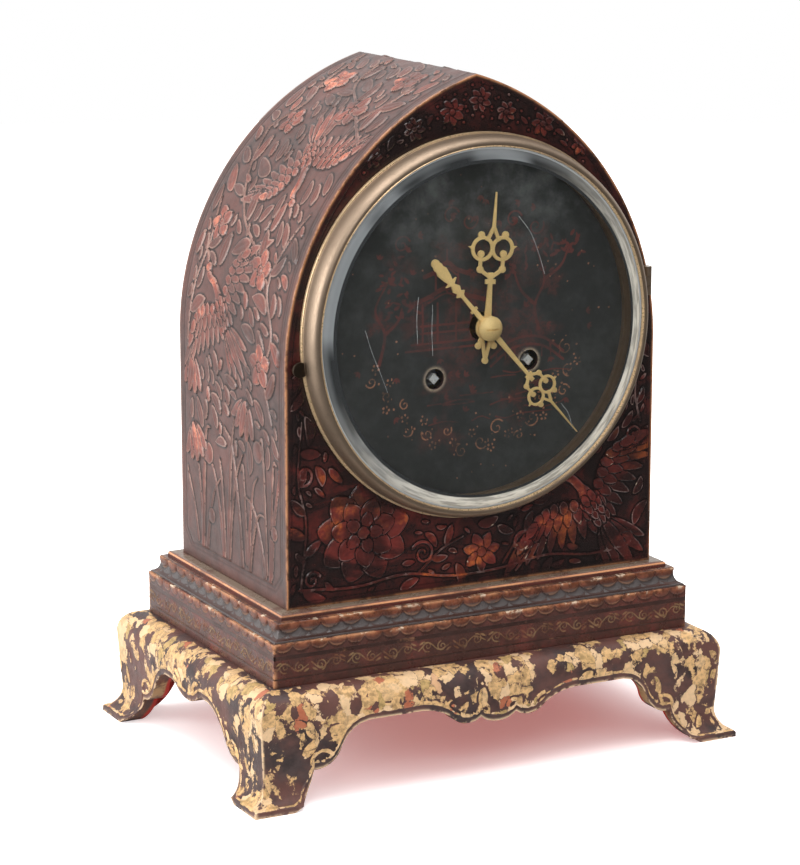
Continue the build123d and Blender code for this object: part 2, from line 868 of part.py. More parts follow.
def make_bezel():
    """Hinged brass ring with its domed glass, retainer, finger tab and hinge."""
    bead_in = bezel_radius - bezel_bead_step
    lip_low = bezel_depth - bezel_lip_height
    bezel_lip_radius = pocket_radius - bezel_lip
    lip_outer = bezel_lip_radius + bezel_lip_width
    shoulder_radius = lip_outer + bezel_shoulder_share * (bead_in - lip_outer)
    shoulder = (shoulder_radius, bezel_gap + bezel_round_share * (bezel_depth - bezel_gap))
    bead_top = bezel_gap + bezel_bead_height
    retainer_low = glass_back - retainer_height
    ring = lathe(
        [
            Line((bezel_skirt_radius, bezel_gap), (bezel_radius, bezel_gap)),
            Line((bezel_radius, bezel_gap), (bezel_radius, bead_top)),
            Line((bezel_radius, bead_top), (bead_in, bead_top)),
            ThreePointArc((bead_in, bead_top), shoulder, (lip_outer, bezel_depth)),
            Line((lip_outer, bezel_depth), (bezel_lip_radius, bezel_depth)),
            Line((bezel_lip_radius, bezel_depth), (bezel_lip_radius, lip_low)),
            Line((bezel_lip_radius, lip_low), (pocket_radius, lip_low)),
            Line((pocket_radius, lip_low), (pocket_radius, retainer_low)),
            Line((pocket_radius, retainer_low), (bezel_skirt_radius, retainer_low)),
            Line((bezel_skirt_radius, retainer_low), (bezel_skirt_radius, bezel_gap)),
        ]
    )
    notch_half = bezel_hinge_length / 2 + bezel_notch_gap
    notch = box_between(
        (seat_inner_radius, bezel_hinge_rise - notch_half, 0),
        (bezel_radius + cut_overrun, bezel_hinge_rise + notch_half, bezel_bracket_plate + bezel_notch_gap),
    )
    save("bezel_ring", on_dial(ring - notch))

    glass_bevel_radius = glass_radius - glass_bevel_width
    glass_inner_radius = glass_radius - glass_inner_margin
    rim_top = glass_back + glass_rim
    bevel_top = rim_top + glass_bevel_height
    crown = bevel_top + glass_rise
    inner_crown = crown - glass_thickness
    inner_rise = inner_crown - glass_back
    outer_mid = dome_point(glass_bevel_radius, bevel_top, glass_rise)
    inner_mid = dome_point(glass_inner_radius, glass_back, inner_rise)
    glass = lathe(
        [
            Line((glass_inner_radius, glass_back), (glass_radius, glass_back)),
            Line((glass_radius, glass_back), (glass_radius, rim_top)),
            Line((glass_radius, rim_top), (glass_bevel_radius, bevel_top)),
            ThreePointArc((glass_bevel_radius, bevel_top), outer_mid, (0, crown)),
            Line((0, crown), (0, inner_crown)),
            ThreePointArc((0, inner_crown), inner_mid, (glass_inner_radius, glass_back)),
        ]
    )
    save("bezel_glass", on_dial(glass))
    retainer = disc(pocket_radius, retainer_low, glass_back)
    retainer -= disc(pocket_radius - retainer_width, retainer_low, glass_back)
    save("glass_retainer", on_dial(retainer))

    tab_x = -(bezel_radius + tab_radius * tab_overlap_share)
    tab = Pos(tab_x, -tab_drop, 0) * disc(tab_radius, tab_out, tab_out + tab_thickness)
    save("bezel_tab", on_dial(tab - disc(bezel_radius, 0, bezel_depth)))

    make_bezel_hinge()


def dome_point(radius, level, rise):
    """Point on a dome halfway in angle between its edge and its crown."""
    sphere = (radius**2 + rise**2) / (2 * rise)
    half_angle = math.asin(radius / sphere) / 2
    return (sphere * math.sin(half_angle), level + rise - sphere * (1 - math.cos(half_angle)))


def make_bezel_hinge():
    """Bracket on the seat, leaf on the ring, and the pin through both."""
    low = dial_z + bezel_hinge_rise - bezel_hinge_length / 2
    third = bezel_hinge_length / 3
    axis_y = -front_w - bezel_hinge_out
    axle = Pos(bezel_hinge_x, axis_y, low)
    barrel = axle * disc(bezel_knuckle_radius, 0, bezel_hinge_length)
    pin = axle * disc(bezel_pin_radius, 0, bezel_hinge_length)
    running_bore = axle * disc(bezel_pin_radius + hinge_running_gap, 0, bezel_hinge_length)
    reach = bezel_hinge_x + bezel_knuckle_radius * 2

    def band(bottom, top):
        return box_between((0, -front_w - bezel_depth * 2, bottom), (reach, back_y, top))

    seat_cut = on_dial(disc(seat_radius, -cut_overrun, cut_overrun))
    plate = box_between(
        (seat_inner_radius, -front_w - bezel_bracket_plate, low),
        (bezel_hinge_x, -front_w, low + bezel_hinge_length),
    )
    post = box_between(
        (bezel_hinge_x - bezel_knuckle_radius, axis_y, low),
        (bezel_hinge_x + bezel_knuckle_radius, -front_w, low + bezel_hinge_length),
    )
    ends = (barrel + post) - band(low + third, low + third * 2)
    save("bezel_hinge_bracket", (plate - seat_cut) + ends - pin)

    ring_cut = on_dial(disc(bezel_radius, -cut_overrun, bezel_depth * 2))
    arm_inner = bezel_radius - bezel_leaf_height
    arm = box_between(
        (arm_inner, axis_y - bezel_knuckle_radius, low),
        (bezel_hinge_x, axis_y + bezel_knuckle_radius - bezel_pin_radius, low + bezel_hinge_length),
    )
    clear_band = band(low + third + hinge_knuckle_gap, low + third * 2 - hinge_knuckle_gap)
    leaf = ((barrel + (arm - ring_cut)) & clear_band) - running_bore
    save("bezel_hinge_leaf", leaf)
    save("bezel_hinge_pin", pin)


# Wheels and arbors


def toothed(teeth, module, phase, root_share, tip_share):
    """Toothed outline with a tooth's middle at the phase angle, in degrees."""
    pitch_radius = teeth * module / 2
    root = pitch_radius - dedendum_share * module
    tip = pitch_radius + addendum_share * module
    step = 360 / teeth
    points = []
    for tooth in range(teeth):
        middle = phase + tooth * step
        for radius, share in ((root, -root_share), (tip, -tip_share), (tip, tip_share), (root, root_share)):
            points.append(polar(radius, middle + share * step / 2))
    return polygon(*points)


def wheel_face(teeth, module, phase):
    """Wheel crossed out with four spokes."""
    root = teeth * module / 2 - dedendum_share * module
    window_radius = root * (1 - rim_share)
    spoke = root * spoke_share
    windows = Circle(window_radius) - Circle(root * hub_share)
    windows -= Rectangle(window_radius * 2, spoke)
    windows -= Rectangle(spoke, window_radius * 2)
    return toothed(teeth, module, phase, wheel_root_share, wheel_tip_share) - windows


def pinion_face(leaves, module, phase):
    """Small pinion cut from the solid."""
    return toothed(leaves, module, phase, pinion_root_share, pinion_tip_share)


def mesh_phase(driver_teeth, driver_axis, driver_phase, teeth, axis):
    """Phase, in degrees, that puts a wheel's space on its driver's tooth."""
    line = math.degrees(math.atan2(axis[1] - driver_axis[1], axis[0] - driver_axis[0]))
    return line + 180 + 180 / teeth + (line - driver_phase) * driver_teeth / teeth


def arbor(body, pivot, front=plate1_front_w, back=plate2_back_w):
    """Arbor between the plates with a pivot at each end."""
    thick = disc(body, plate2_front_w + end_shake, plate1_back_w - end_shake)
    return thick + disc(pivot, back - pivot_stand_out, front + pivot_stand_out)


def make_barrel(name, axis):
    """Spring barrel with its toothed flange at the back, and the mainspring inside it."""
    drum = disc(barrel_drum_radius, barrel_back_w, barrel_front_w)
    drum += slab(
        toothed(barrel_teeth, barrel_module, 0, wheel_root_share, wheel_tip_share),
        barrel_back_w,
        flange_top_w,
    )
    inner = barrel_drum_radius - barrel_wall
    drum -= disc(inner, flange_top_w, barrel_front_w - barrel_wall)
    drum -= disc(barrel_arbor_radius + running_gap, barrel_back_w, barrel_front_w)
    save(f"{name}_barrel", in_movement(drum, axis))

    outer = []
    inside = []
    total = spring_turns * spring_steps
    for step in range(total + 1):
        share = step / total
        radius = spring_inner_radius + share * (inner - spring_inner_radius)
        angle = step * 360 / spring_steps
        outer.append(polar(radius, angle))
        inside.append(polar(radius - spring_strip, angle))
    strip = polygon(*outer, *reversed(inside))
    spring_top = barrel_front_w - barrel_wall - spring_end_gap
    save(f"{name}_mainspring", in_movement(slab(strip, flange_top_w, spring_top), axis))


def make_winding_arbor(name, axis):
    """Barrel arbor with its ratchet in front of the front plate and a square for the key."""
    ratchet_low = plate1_front_w + end_shake
    ratchet_high = ratchet_low + ratchet_thickness
    shaft = disc(barrel_arbor_radius, plate2_front_w + end_shake, plate1_back_w - end_shake)
    shaft += disc(barrel_pivot_radius, plate1_back_w - end_shake, ratchet_high)
    shaft += disc(barrel_rear_pivot_radius, plate2_back_w, plate2_front_w + end_shake)
    shaft += slab(saw_face(ratchet_teeth, ratchet_radius, ratchet_tooth_depth, 0), ratchet_low, ratchet_high)
    square = Rectangle(winding_square, winding_square, rotation=45)
    shaft += slab(square, ratchet_high, front_w - winding_square_recess)
    save(f"{name}_winding_arbor", in_movement(shaft, axis))


def saw_face(teeth, radius, depth, lean_share):
    """Saw-toothed outline, with tips that lean by a share of the pitch."""
    points = []
    step = 360 / teeth
    for tooth in range(teeth):
        points.append(polar(radius - depth, tooth * step))
        points.append(polar(radius, (tooth + lean_share) * step))
    return polygon(*points)


def make_going_train():
    """Barrel, intermediate, centre, third and escape wheels from spring to escapement."""
    make_barrel("going", going_axis)
    make_winding_arbor("going", going_axis)

    phase = mesh_phase(barrel_teeth, going_axis, 0, intermediate_leaves, intermediate_axis)
    wheel = arbor(arbor_radius, pivot_radius)
    wheel += slab(
        pinion_face(intermediate_leaves, barrel_module, phase),
        barrel_back_w - pinion_overlap,
        flange_top_w + pinion_overlap,
    )
    wheel += slab(
        wheel_face(intermediate_teeth, intermediate_module, 0),
        intermediate_w,
        intermediate_w + wheel_thickness,
    )
    save("intermediate_wheel", in_movement(wheel, intermediate_axis))

    phase = mesh_phase(intermediate_teeth, intermediate_axis, 0, centre_leaves, centre_axis)
    nut_top = front_w + hour_hand_out + hand_thickness * 2 + minute_hand_gap
    wheel = arbor(centre_arbor_radius, pivot_radius)
    wheel += disc(centre_arbor_radius, plate1_front_w, nut_top + nut_bore_depth)
    wheel += slab(
        pinion_face(centre_leaves, intermediate_module, phase),
        intermediate_w - pinion_overlap,
        intermediate_w + wheel_thickness + pinion_overlap,
    )
    wheel += slab(
        wheel_face(centre_teeth, centre_module, 0), centre_wheel_w, centre_wheel_w + wheel_thickness
    )
    save("centre_wheel", in_movement(wheel, centre_axis))

    phase = mesh_phase(centre_teeth, centre_axis, 0, third_leaves, third_axis)
    wheel = arbor(fine_arbor_radius, fine_pivot_radius)
    wheel += slab(
        pinion_face(third_leaves, centre_module, phase),
        centre_wheel_w - pinion_overlap,
        centre_wheel_w + wheel_thickness + pinion_overlap,
    )
    wheel += slab(
        wheel_face(third_teeth, third_module, 0), third_wheel_w, third_wheel_w + fine_wheel_thickness
    )
    save("third_wheel", in_movement(wheel, third_axis))

    phase = mesh_phase(third_teeth, third_axis, 0, escape_leaves, escape_axis)
    wheel = arbor(fine_arbor_radius, fine_pivot_radius)
    wheel += slab(
        pinion_face(escape_leaves, third_module, phase),
        third_wheel_w - pinion_overlap,
        third_wheel_w + fine_wheel_thickness + pinion_overlap,
    )
    root = escape_radius - escape_tooth_depth
    windows = Circle(root * (1 - rim_share)) - Circle(root * hub_share)
    windows -= Rectangle(root * 2, root * spoke_share)
    windows -= Rectangle(root * spoke_share, root * 2)
    teeth = saw_face(escape_teeth, escape_radius, escape_tooth_depth, escape_lean_share)
    wheel += slab(teeth - windows, escape_wheel_w, escape_wheel_w + fine_wheel_thickness)
    save("escape_wheel", in_movement(wheel, escape_axis))


def make_motion_work():
    """Cannon pinion, minute wheel with its pinion, and hour wheel with its pipe."""
    cannon_low = plate1_front_w + cannon_gap
    cannon_high = cannon_low + cannon_height
    hour_top = front_w + hour_hand_out + hand_thickness
    minute_top = hour_top + minute_hand_gap + hand_thickness
    cannon = slab(pinion_face(cannon_leaves, cannon_module, 0), cannon_low, cannon_high)
    cannon += disc(cannon_pipe_radius, cannon_low, minute_top)
    cannon -= disc(centre_arbor_radius, cannon_low, minute_top)
    save("cannon_pinion", in_movement(cannon))

    wheel_low = cannon_low + minute_wheel_gap
    wheel_high = wheel_low + minute_wheel_thickness
    hour_low = wheel_high + hour_wheel_gap
    hour_high = hour_low + hour_wheel_thickness
    phase = mesh_phase(cannon_leaves, centre_axis, 0, minute_teeth, minute_axis)
    wheel = slab(wheel_face(minute_teeth, cannon_module, phase), wheel_low, wheel_high)
    wheel += slab(
        pinion_face(minute_leaves, hour_module, 0), wheel_high, hour_high + pinion_overlap / 2
    )
    wheel -= disc(minute_stud_radius + running_gap, wheel_low, hour_high + pinion_overlap)
    save("minute_wheel", in_movement(wheel, minute_axis))

    phase = mesh_phase(minute_leaves, minute_axis, 0, hour_teeth, centre_axis)
    wheel = slab(
        toothed(hour_teeth, hour_module, phase, wheel_root_share, wheel_tip_share), hour_low, hour_high
    )
    wheel += disc(hour_pipe_radius, hour_low, hour_top)
    wheel -= disc(cannon_pipe_radius + running_gap, hour_low, hour_top)
    save("hour_wheel", in_movement(wheel))


# Hands


def bar_face(start, end, start_width, end_width):
    """Flat bar between two points, wider or narrower at its end."""
    dx = end[0] - start[0]
    dy = end[1] - start[1]
    length = math.hypot(dx, dy)
    nx = -dy / length / 2
    ny = dx / length / 2
    return polygon(
        (start[0] + nx * start_width, start[1] + ny * start_width),
        (end[0] + nx * end_width, end[1] + ny * end_width),
        (end[0] - nx * end_width, end[1] - ny * end_width),
        (start[0] - nx * start_width, start[1] - ny * start_width),
    )


def ball_face(x, y, radius):
    """Round spot of a hand."""
    return Pos(x, y) * Circle(radius)


def hand_head(middle, width, tip):
    """Pierced head: two rings with buds, outer spurs, lumps on top, a split needle and a lyre below."""
    ring_x = width / 2
    band = width * ring_band_share
    needle = width * needle_share
    leg_foot = middle + width * lump_rise_share * ring_share
    split = middle + width * leg_rise_share
    face = bar_face((0, split), (0, tip), needle, width * needle_tip_share)
    neck = (0, middle - width * neck_drop_share)
    for way in (-1, 1):
        x = way * ring_x
        ring = ball_face(x, middle, width * ring_share) - ball_face(x, middle, width * ring_share - band)
        bud_y = middle - width * bud_drop_share
        elbow = (way * width * arm_out_share, middle - width * arm_drop_share)
        spur_root = x + way * (width * ring_share - band)
        spur_tip = (way * width * spur_out_share, middle + width * spur_rise_share)
        face += ring
        face += ball_face(way * width * arm_out_share, bud_y, width * bud_share)
        face += bar_face((way * width * arm_out_share, bud_y), elbow, band, band)
        face += bar_face(neck, elbow, band, width * arm_band_share)
        face += ball_face(elbow[0], elbow[1], width * bud_share)
        face += ball_face(way * width * lump_out_share, middle + width * lump_rise_share, width * lump_share)
        face += bar_face((way * width * leg_out_share, leg_foot), (0, split), band, needle)
        face += polygon(
            (spur_root, middle - width * spur_half_share),
            (spur_root, middle + width * spur_half_share),
            spur_tip,
        )
    return face


def collar_face(level, width):
    """Small double collar across a hand's stem."""
    height = width * collar_height_share
    return Pos(0, level) * (
        Rectangle(width * collar_share, height)
        + Pos(0, height) * Rectangle(width * collar_share / 2, height * 2)
    )


def hour_hand_face():
    """Hour hand pointing up, with its pierced head and short forked tail."""
    hour_head = hour_hand_length * hour_head_share
    neck = hour_head - hour_head_width * neck_drop_share
    face = Circle(hour_hub_radius) + hand_head(hour_head, hour_head_width, hour_hand_length)
    face += bar_face((0, 0), (0, neck), hour_stem, hour_stem * collar_share)
    face += collar_face(hour_hand_length * hour_collar_share, hour_head_width)
    band = hour_head_width * ring_band_share
    spread = hour_hub_radius * tail_spread_share
    for way in (-1, 1):
        ball = (way * spread, -hour_tail / 2)
        face += bar_face((0, 0), ball, hour_stem, band)
        face += ball_face(ball[0], ball[1], band)
        face += bar_face((ball[0] / 2, -hour_hub_radius), (0, -hour_tail + band), band, band)
    face += ball_face(0, -hour_tail + band, band)
    return face - Circle(hour_pipe_radius)


def minute_hand_face():
    """Minute hand pointing up, with its pierced head and long counterweight tail."""
    minute_head = minute_hand_length * minute_head_share
    neck = minute_head - minute_head_width * neck_drop_share
    band = minute_head_width * ring_band_share
    face = Circle(minute_hub_radius) + hand_head(minute_head, minute_head_width, minute_hand_length)
    face += bar_face((0, 0), (0, neck), minute_stem, minute_stem * collar_share)
    face += collar_face(minute_hand_length * minute_collar_share, minute_head_width)
    face += Pos(0, -minute_tail * tail_shares[0]) * Rectangle(minute_head_width * collar_share, band)
    face += bar_face((0, 0), (0, -minute_tail * tail_shares[1]), minute_stem, minute_stem * width_shares[0])
    for index in range(1, len(width_shares)):
        face += bar_face(
            (0, -minute_tail * tail_shares[index]),
            (0, -minute_tail * tail_shares[index + 1]),
            minute_stem * width_shares[index - 1],
            minute_stem * width_shares[index],
        )
    face += ball_face(0, -minute_tail + band, band * 2)
    return face - Circle(cannon_pipe_radius)


def make_hands():
    """Both hands at the photographed time, and the slotted nut that holds them."""
    hour_low = front_w + hour_hand_out
    hour_high = hour_low + hand_thickness
    minute_low = hour_high + minute_hand_gap
    minute_high = minute_low + hand_thickness
    hour = Rot(0, 0, -hour_hand_angle) * slab(hour_hand_face(), hour_low, hour_high)
    minute = Rot(0, 0, -minute_hand_angle) * slab(minute_hand_face(), minute_low, minute_high)
    save("hour_hand", in_movement(hour))
    save("minute_hand", in_movement(minute))

    edge = nut_height / 3
    mid = dome_point(nut_radius, minute_high + edge, nut_height - edge)
    nut = lathe(
        [
            Line((0, minute_high), (nut_radius, minute_high)),
            Line((nut_radius, minute_high), (nut_radius, minute_high + edge)),
            ThreePointArc((nut_radius, minute_high + edge), mid, (0, minute_high + nut_height)),
            Line((0, minute_high + nut_height), (0, minute_high)),
        ]
    )
    nut -= disc(centre_arbor_radius, minute_high, minute_high + nut_bore_depth)
    slot_low = minute_high + nut_height - nut_slot_depth
    nut -= slab(Rectangle(nut_radius * 3, nut_slot), slot_low, minute_high + nut_height)
    save("hand_nut", in_movement(nut))


# Plates and what they carry


def make_plates():
    """Front and back plates with their pivot holes, pillars, nuts and mounting bars."""
    pivots = [
        (intermediate_axis, pivot_radius),
        (third_axis, fine_pivot_radius),
        (escape_axis, fine_pivot_radius),
        (pin_axis, pivot_radius),
        (fly_axis, fine_pivot_radius),
    ]
    barrels = (going_axis, strike_axis)
    stubs = [(place, pillar_stub_radius) for place in pillar_places]
    front_holes = pivots + stubs + [(axis, barrel_pivot_radius) for axis in barrels]
    front_holes += [(centre_axis, centre_arbor_radius), (pallet_axis, pivot_radius)]
    back_holes = pivots + stubs + [(axis, barrel_rear_pivot_radius) for axis in barrels]
    back_holes += [(centre_axis, pivot_radius), (pallet_axis, pallet_hole_radius)]

    front = disc(plate_radius, plate1_back_w, plate1_front_w)
    for axis, radius in front_holes:
        front -= Pos(*axis) * disc(radius + running_gap, plate1_back_w, plate1_front_w)
    stud_top = plate1_front_w + minute_stud_height
    front += Pos(*minute_axis) * disc(minute_stud_radius, plate1_front_w, stud_top)
    for axis in barrels:
        low = ratchet_radius + click_gap
        front += box_between(
            (axis[0] - click_length / 2, axis[1] + low, plate1_front_w),
            (
                axis[0] + click_length / 2,
                axis[1] + low + click_height,
                plate1_front_w + end_shake + ratchet_thickness,
            ),
        )
    save("movement_front_plate", in_movement(front))

    back = disc(plate_radius, plate2_back_w, plate2_front_w)
    for axis, radius in back_holes:
        back -= Pos(*axis) * disc(radius + running_gap, plate2_back_w, plate2_front_w)
    stud_end = plate2_back_w - hammer_stand_off - hammer_boss_height
    back += Pos(*hammer_axis) * disc(hammer_stud_radius, stud_end, plate2_back_w)
    save("movement_back_plate", in_movement(back))

    nut_end = plate2_back_w - pillar_nut_height
    pillar = disc(pillar_radius, plate2_front_w, plate1_back_w)
    pillar += disc(pillar_stub_radius, nut_end, plate1_front_w)
    nut = slab(RegularPolygon(pillar_nut_radius, 6), nut_end, plate2_back_w)
    nut -= disc(pillar_stub_radius + running_gap, nut_end, plate2_back_w)
    save("plate_pillars", *[in_movement(pillar, place) for place in pillar_places])
    save("pillar_nuts", *[in_movement(nut, place) for place in pillar_places])

    bars = []
    for way in (-1, 1):
        bar = slab(Rectangle(bar_width, bar_length), plate1_front_w, plate1_front_w + bar_thickness)
        bars.append(in_movement(bar, (way * bar_spacing / 2, 0)))
    save("movement_bars", *bars)


def make_escapement():
    """Pallets on their arbor, and the cock that carries the arbor behind the back plate."""
    cock_front_w = plate2_back_w - cock_stand_off
    cock_back_w = cock_front_w - cock_thickness
    pallet_radius = escape_radius + pallet_gap
    across = pallet_radius * math.sin(math.radians(pallet_span_angle))
    down = pallet_rise - pallet_radius * math.cos(math.radians(pallet_span_angle))
    anchor = Circle(pallet_hub_radius)
    for way in (-1, 1):
        anchor += bar_face((0, 0), (way * across, -down), pallet_hub_radius, pallet_arm)
        anchor += ball_face(way * across, -down, pallet_arm / 2)
    low = escape_wheel_w + (fine_wheel_thickness - pallet_thickness) / 2
    pallets = slab(anchor, low, low + pallet_thickness)
    pallets += disc(arbor_radius, cock_front_w + end_shake, plate1_back_w - end_shake)
    pallets += disc(pivot_radius, cock_back_w, plate1_front_w)
    save("pallets", in_movement(pallets, pallet_axis))

    top = cock_height * cock_drop_share
    cock = slab(Pos(0, top - cock_height / 2) * Rectangle(cock_width, cock_height), cock_back_w, cock_front_w)
    for way in (-1, 1):
        inner = way * (cock_width / 2 - cock_leg)
        outer = way * cock_width / 2
        cock += box_between(
            (min(inner, outer), top - cock_height, cock_front_w), (max(inner, outer), top, plate2_back_w)
        )
    cock -= disc(pivot_radius + running_gap, cock_back_w, cock_front_w)
    save("back_cock", in_movement(cock, pallet_axis))


def make_pendulum():
    """Rod on the pallet arbor, lens bob and rating nut."""
    rod_low = tail_w - pendulum_rod_thickness / 2
    rod_high = tail_w + pendulum_rod_thickness / 2
    bob_bottom = pendulum_length + bob_radius
    rod = slab(bar_face((0, 0), (0, -bob_bottom), pendulum_rod_width, pendulum_rod_width), rod_low, rod_high)
    collar_half = pendulum_collar_height / 2
    rod += disc(pendulum_collar_radius, tail_w - collar_half, tail_w + collar_half)
    thread = disc(pendulum_thread_radius, 0, pendulum_tail)
    rod += Pos(0, -pendulum_length, tail_w) * Rot(90, 0, 0) * thread
    rod -= disc(arbor_radius, tail_w - pendulum_collar_height, tail_w + pendulum_collar_height)
    save("pendulum_rod", in_movement(rod, pallet_axis))

    half = bob_thickness / 2
    face_mid = dome_point(bob_radius, bob_edge / 2, half - bob_edge / 2)
    bob = lathe(
        [
            Line((bob_radius, -bob_edge / 2), (bob_radius, bob_edge / 2)),
            ThreePointArc((bob_radius, bob_edge / 2), face_mid, (0, half)),
            Line((0, half), (0, -half)),
            ThreePointArc((0, -half), (face_mid[0], -face_mid[1]), (bob_radius, -bob_edge / 2)),
        ]
    )
    bob = Pos(0, -pendulum_length, tail_w) * bob
    save("pendulum_bob", in_movement(bob - rod, pallet_axis))

    nut_face = Circle(rating_nut_radius) - Circle(pendulum_thread_radius + running_gap)
    for flute in range(rating_nut_flutes):
        place = polar(rating_nut_radius, flute * 360 / rating_nut_flutes)
        nut_face -= Pos(*place) * Circle(rating_flute_radius)
    nut_top = -pendulum_length - bob_radius - rating_nut_gap
    nut = Pos(0, nut_top, tail_w) * Rot(90, 0, 0) * extrude(nut_face, amount=rating_nut_height)
    save("rating_nut", in_movement(nut, pallet_axis))


def make_strike():
    """Strike barrel, pin wheel, fly, hammer and the rod gong on its block."""
    make_barrel("strike", strike_axis)
    make_winding_arbor("strike", strike_axis)

    phase = mesh_phase(barrel_teeth, strike_axis, 0, pin_wheel_leaves, pin_axis)
    wheel_top = intermediate_w + wheel_thickness
    wheel = arbor(arbor_radius, pivot_radius)
    wheel += slab(
        pinion_face(pin_wheel_leaves, barrel_module, phase),
        barrel_back_w - pinion_overlap,
        flange_top_w + pinion_overlap,
    )
    wheel += slab(wheel_face(pin_wheel_teeth, pin_wheel_module, 0), intermediate_w, wheel_top)
    rim_middle = pin_wheel_teeth * pin_wheel_module / 2 * (1 - rim_share)
    for pin in range(pin_wheel_pins):
        place = polar(rim_middle, pin * 360 / pin_wheel_pins)
        wheel += Pos(*place) * disc(pin_radius, intermediate_w, wheel_top + pin_length)
    save("strike_pin_wheel", in_movement(wheel, pin_axis))

    phase = mesh_phase(pin_wheel_teeth, pin_axis, 0, fly_leaves, fly_axis)
    fly = arbor(fine_arbor_radius, fine_pivot_radius)
    fly += slab(
        pinion_face(fly_leaves, pin_wheel_module, phase),
        intermediate_w - pinion_overlap,
        wheel_top + pinion_overlap,
    )
    vane_low = wheel_top + pinion_overlap + fly_vane_gap
    fly += slab(Rectangle(fly_vane_radius * 2, fly_vane_thickness), vane_low, vane_low + fly_vane_length)
    save("fly", in_movement(fly, fly_axis))

    boss_high = plate2_back_w - hammer_stand_off
    boss_low = boss_high - hammer_boss_height
    middle = (boss_high + boss_low) / 2
    hammer = disc(hammer_boss_radius, boss_low, boss_high)
    hammer += slab(
        bar_face((0, 0), (0, -hammer_reach), hammer_arm_width, hammer_arm_width),
        middle - hammer_arm_thickness / 2,
        middle + hammer_arm_thickness / 2,
    )
    head = Pos(0, -hammer_reach, middle) * Rot(0, 90, 0) * Cylinder(hammer_head_radius, hammer_head_length)
    hammer += head
    hammer -= disc(hammer_stud_radius + running_gap, boss_low, boss_high)
    save("hammer", in_movement(hammer, hammer_axis))

    gong_x = movement_offset - hammer_x - hammer_head_length / 2 - gong_gap - gong_radius
    floor_top = case_bottom + floor_board
    rod = Pos(gong_x, -middle, floor_top) * disc(gong_radius, 0, gong_height)
    block = box_between(
        (gong_x - gong_block_width / 2, -middle - gong_block_depth / 2, floor_top),
        (gong_x + gong_block_width / 2, -middle + gong_block_depth / 2, floor_top + gong_block_height),
    )
    save("gong_rod", rod)
    save("gong_block", block - rod)


make_case()
make_back_door()
make_plinth()
make_stand()
make_dial()
make_bezel()
make_going_train()
make_motion_work()
make_hands()
make_plates()
make_escapement()
make_pendulum()
make_strike()
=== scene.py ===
import bpy
import json
import math
import numpy as np
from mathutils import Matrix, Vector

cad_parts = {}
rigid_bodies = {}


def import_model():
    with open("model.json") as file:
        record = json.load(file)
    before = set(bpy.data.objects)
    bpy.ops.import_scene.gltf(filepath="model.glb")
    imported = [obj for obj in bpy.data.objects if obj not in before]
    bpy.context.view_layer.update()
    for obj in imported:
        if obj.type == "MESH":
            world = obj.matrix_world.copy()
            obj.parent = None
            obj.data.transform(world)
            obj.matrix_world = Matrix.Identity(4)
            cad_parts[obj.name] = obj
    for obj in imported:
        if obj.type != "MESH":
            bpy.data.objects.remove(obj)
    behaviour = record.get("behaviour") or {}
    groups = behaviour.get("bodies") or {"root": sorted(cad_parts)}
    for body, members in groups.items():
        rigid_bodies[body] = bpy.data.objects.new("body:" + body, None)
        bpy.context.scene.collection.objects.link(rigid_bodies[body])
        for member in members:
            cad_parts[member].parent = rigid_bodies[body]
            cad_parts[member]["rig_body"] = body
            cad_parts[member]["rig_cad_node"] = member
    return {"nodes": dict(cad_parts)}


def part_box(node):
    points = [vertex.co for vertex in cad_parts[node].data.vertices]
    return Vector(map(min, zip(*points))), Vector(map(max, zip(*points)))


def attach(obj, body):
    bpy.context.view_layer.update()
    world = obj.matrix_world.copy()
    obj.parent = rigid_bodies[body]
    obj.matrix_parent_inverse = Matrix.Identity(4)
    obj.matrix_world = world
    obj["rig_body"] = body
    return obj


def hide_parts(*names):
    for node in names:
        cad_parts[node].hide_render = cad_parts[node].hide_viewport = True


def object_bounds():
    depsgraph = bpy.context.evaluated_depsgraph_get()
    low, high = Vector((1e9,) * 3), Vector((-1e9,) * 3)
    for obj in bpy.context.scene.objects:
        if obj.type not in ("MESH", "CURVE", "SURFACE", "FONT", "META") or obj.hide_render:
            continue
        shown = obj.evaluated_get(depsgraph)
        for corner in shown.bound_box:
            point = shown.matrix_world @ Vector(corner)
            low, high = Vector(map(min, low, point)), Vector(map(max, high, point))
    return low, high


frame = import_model()
cad_low, cad_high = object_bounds()

bl_info = {
    "name": "Beehive shelf clock dressing",
    "version": (1, 0, 0),
    "blender": (4, 5, 0),
    "location": "View3D > Sidebar > Clock",
    "description": "Carves, lacquers, gilds and lights a pointed-arch shelf clock on its packed frame",
    "category": "Object",
}

MM = 0.001
CASE_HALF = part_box("case_front_panel")[1].x / MM
CASE_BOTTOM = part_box("case_front_panel")[0].z / MM
CASE_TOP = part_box("case_front_panel")[1].z / MM
FRONT_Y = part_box("case_front_panel")[0].y / MM
BACK_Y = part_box("case_back_frame")[1].y / MM
DIAL_LOW, DIAL_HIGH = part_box("dial_plate")
DIAL_Z = (DIAL_LOW.z + DIAL_HIGH.z) / 2 / MM
DIAL_RADIUS = (DIAL_HIGH.x - DIAL_LOW.x) / 2 / MM
BEZEL_RADIUS = (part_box("bezel_ring")[1].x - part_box("bezel_ring")[0].x) / 2 / MM
FRIEZE_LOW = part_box("plinth_frieze")[0].z / MM
FRIEZE_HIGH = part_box("plinth_frieze")[1].z / MM
MOULDING_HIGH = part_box("plinth_moulding")[1].z / MM
ARCH_OFFSET = 39.8
ARCH_RADIUS = CASE_HALF + ARCH_OFFSET
SPRING_Z = CASE_TOP - math.sqrt(ARCH_RADIUS**2 - ARCH_OFFSET**2)
MOULDING_REACH = 8.8
FRIEZE_REACH = 13.4
FOOT_REACH = cad_high[0] / MM - CASE_HALF
GILDED_REACH = 32.6
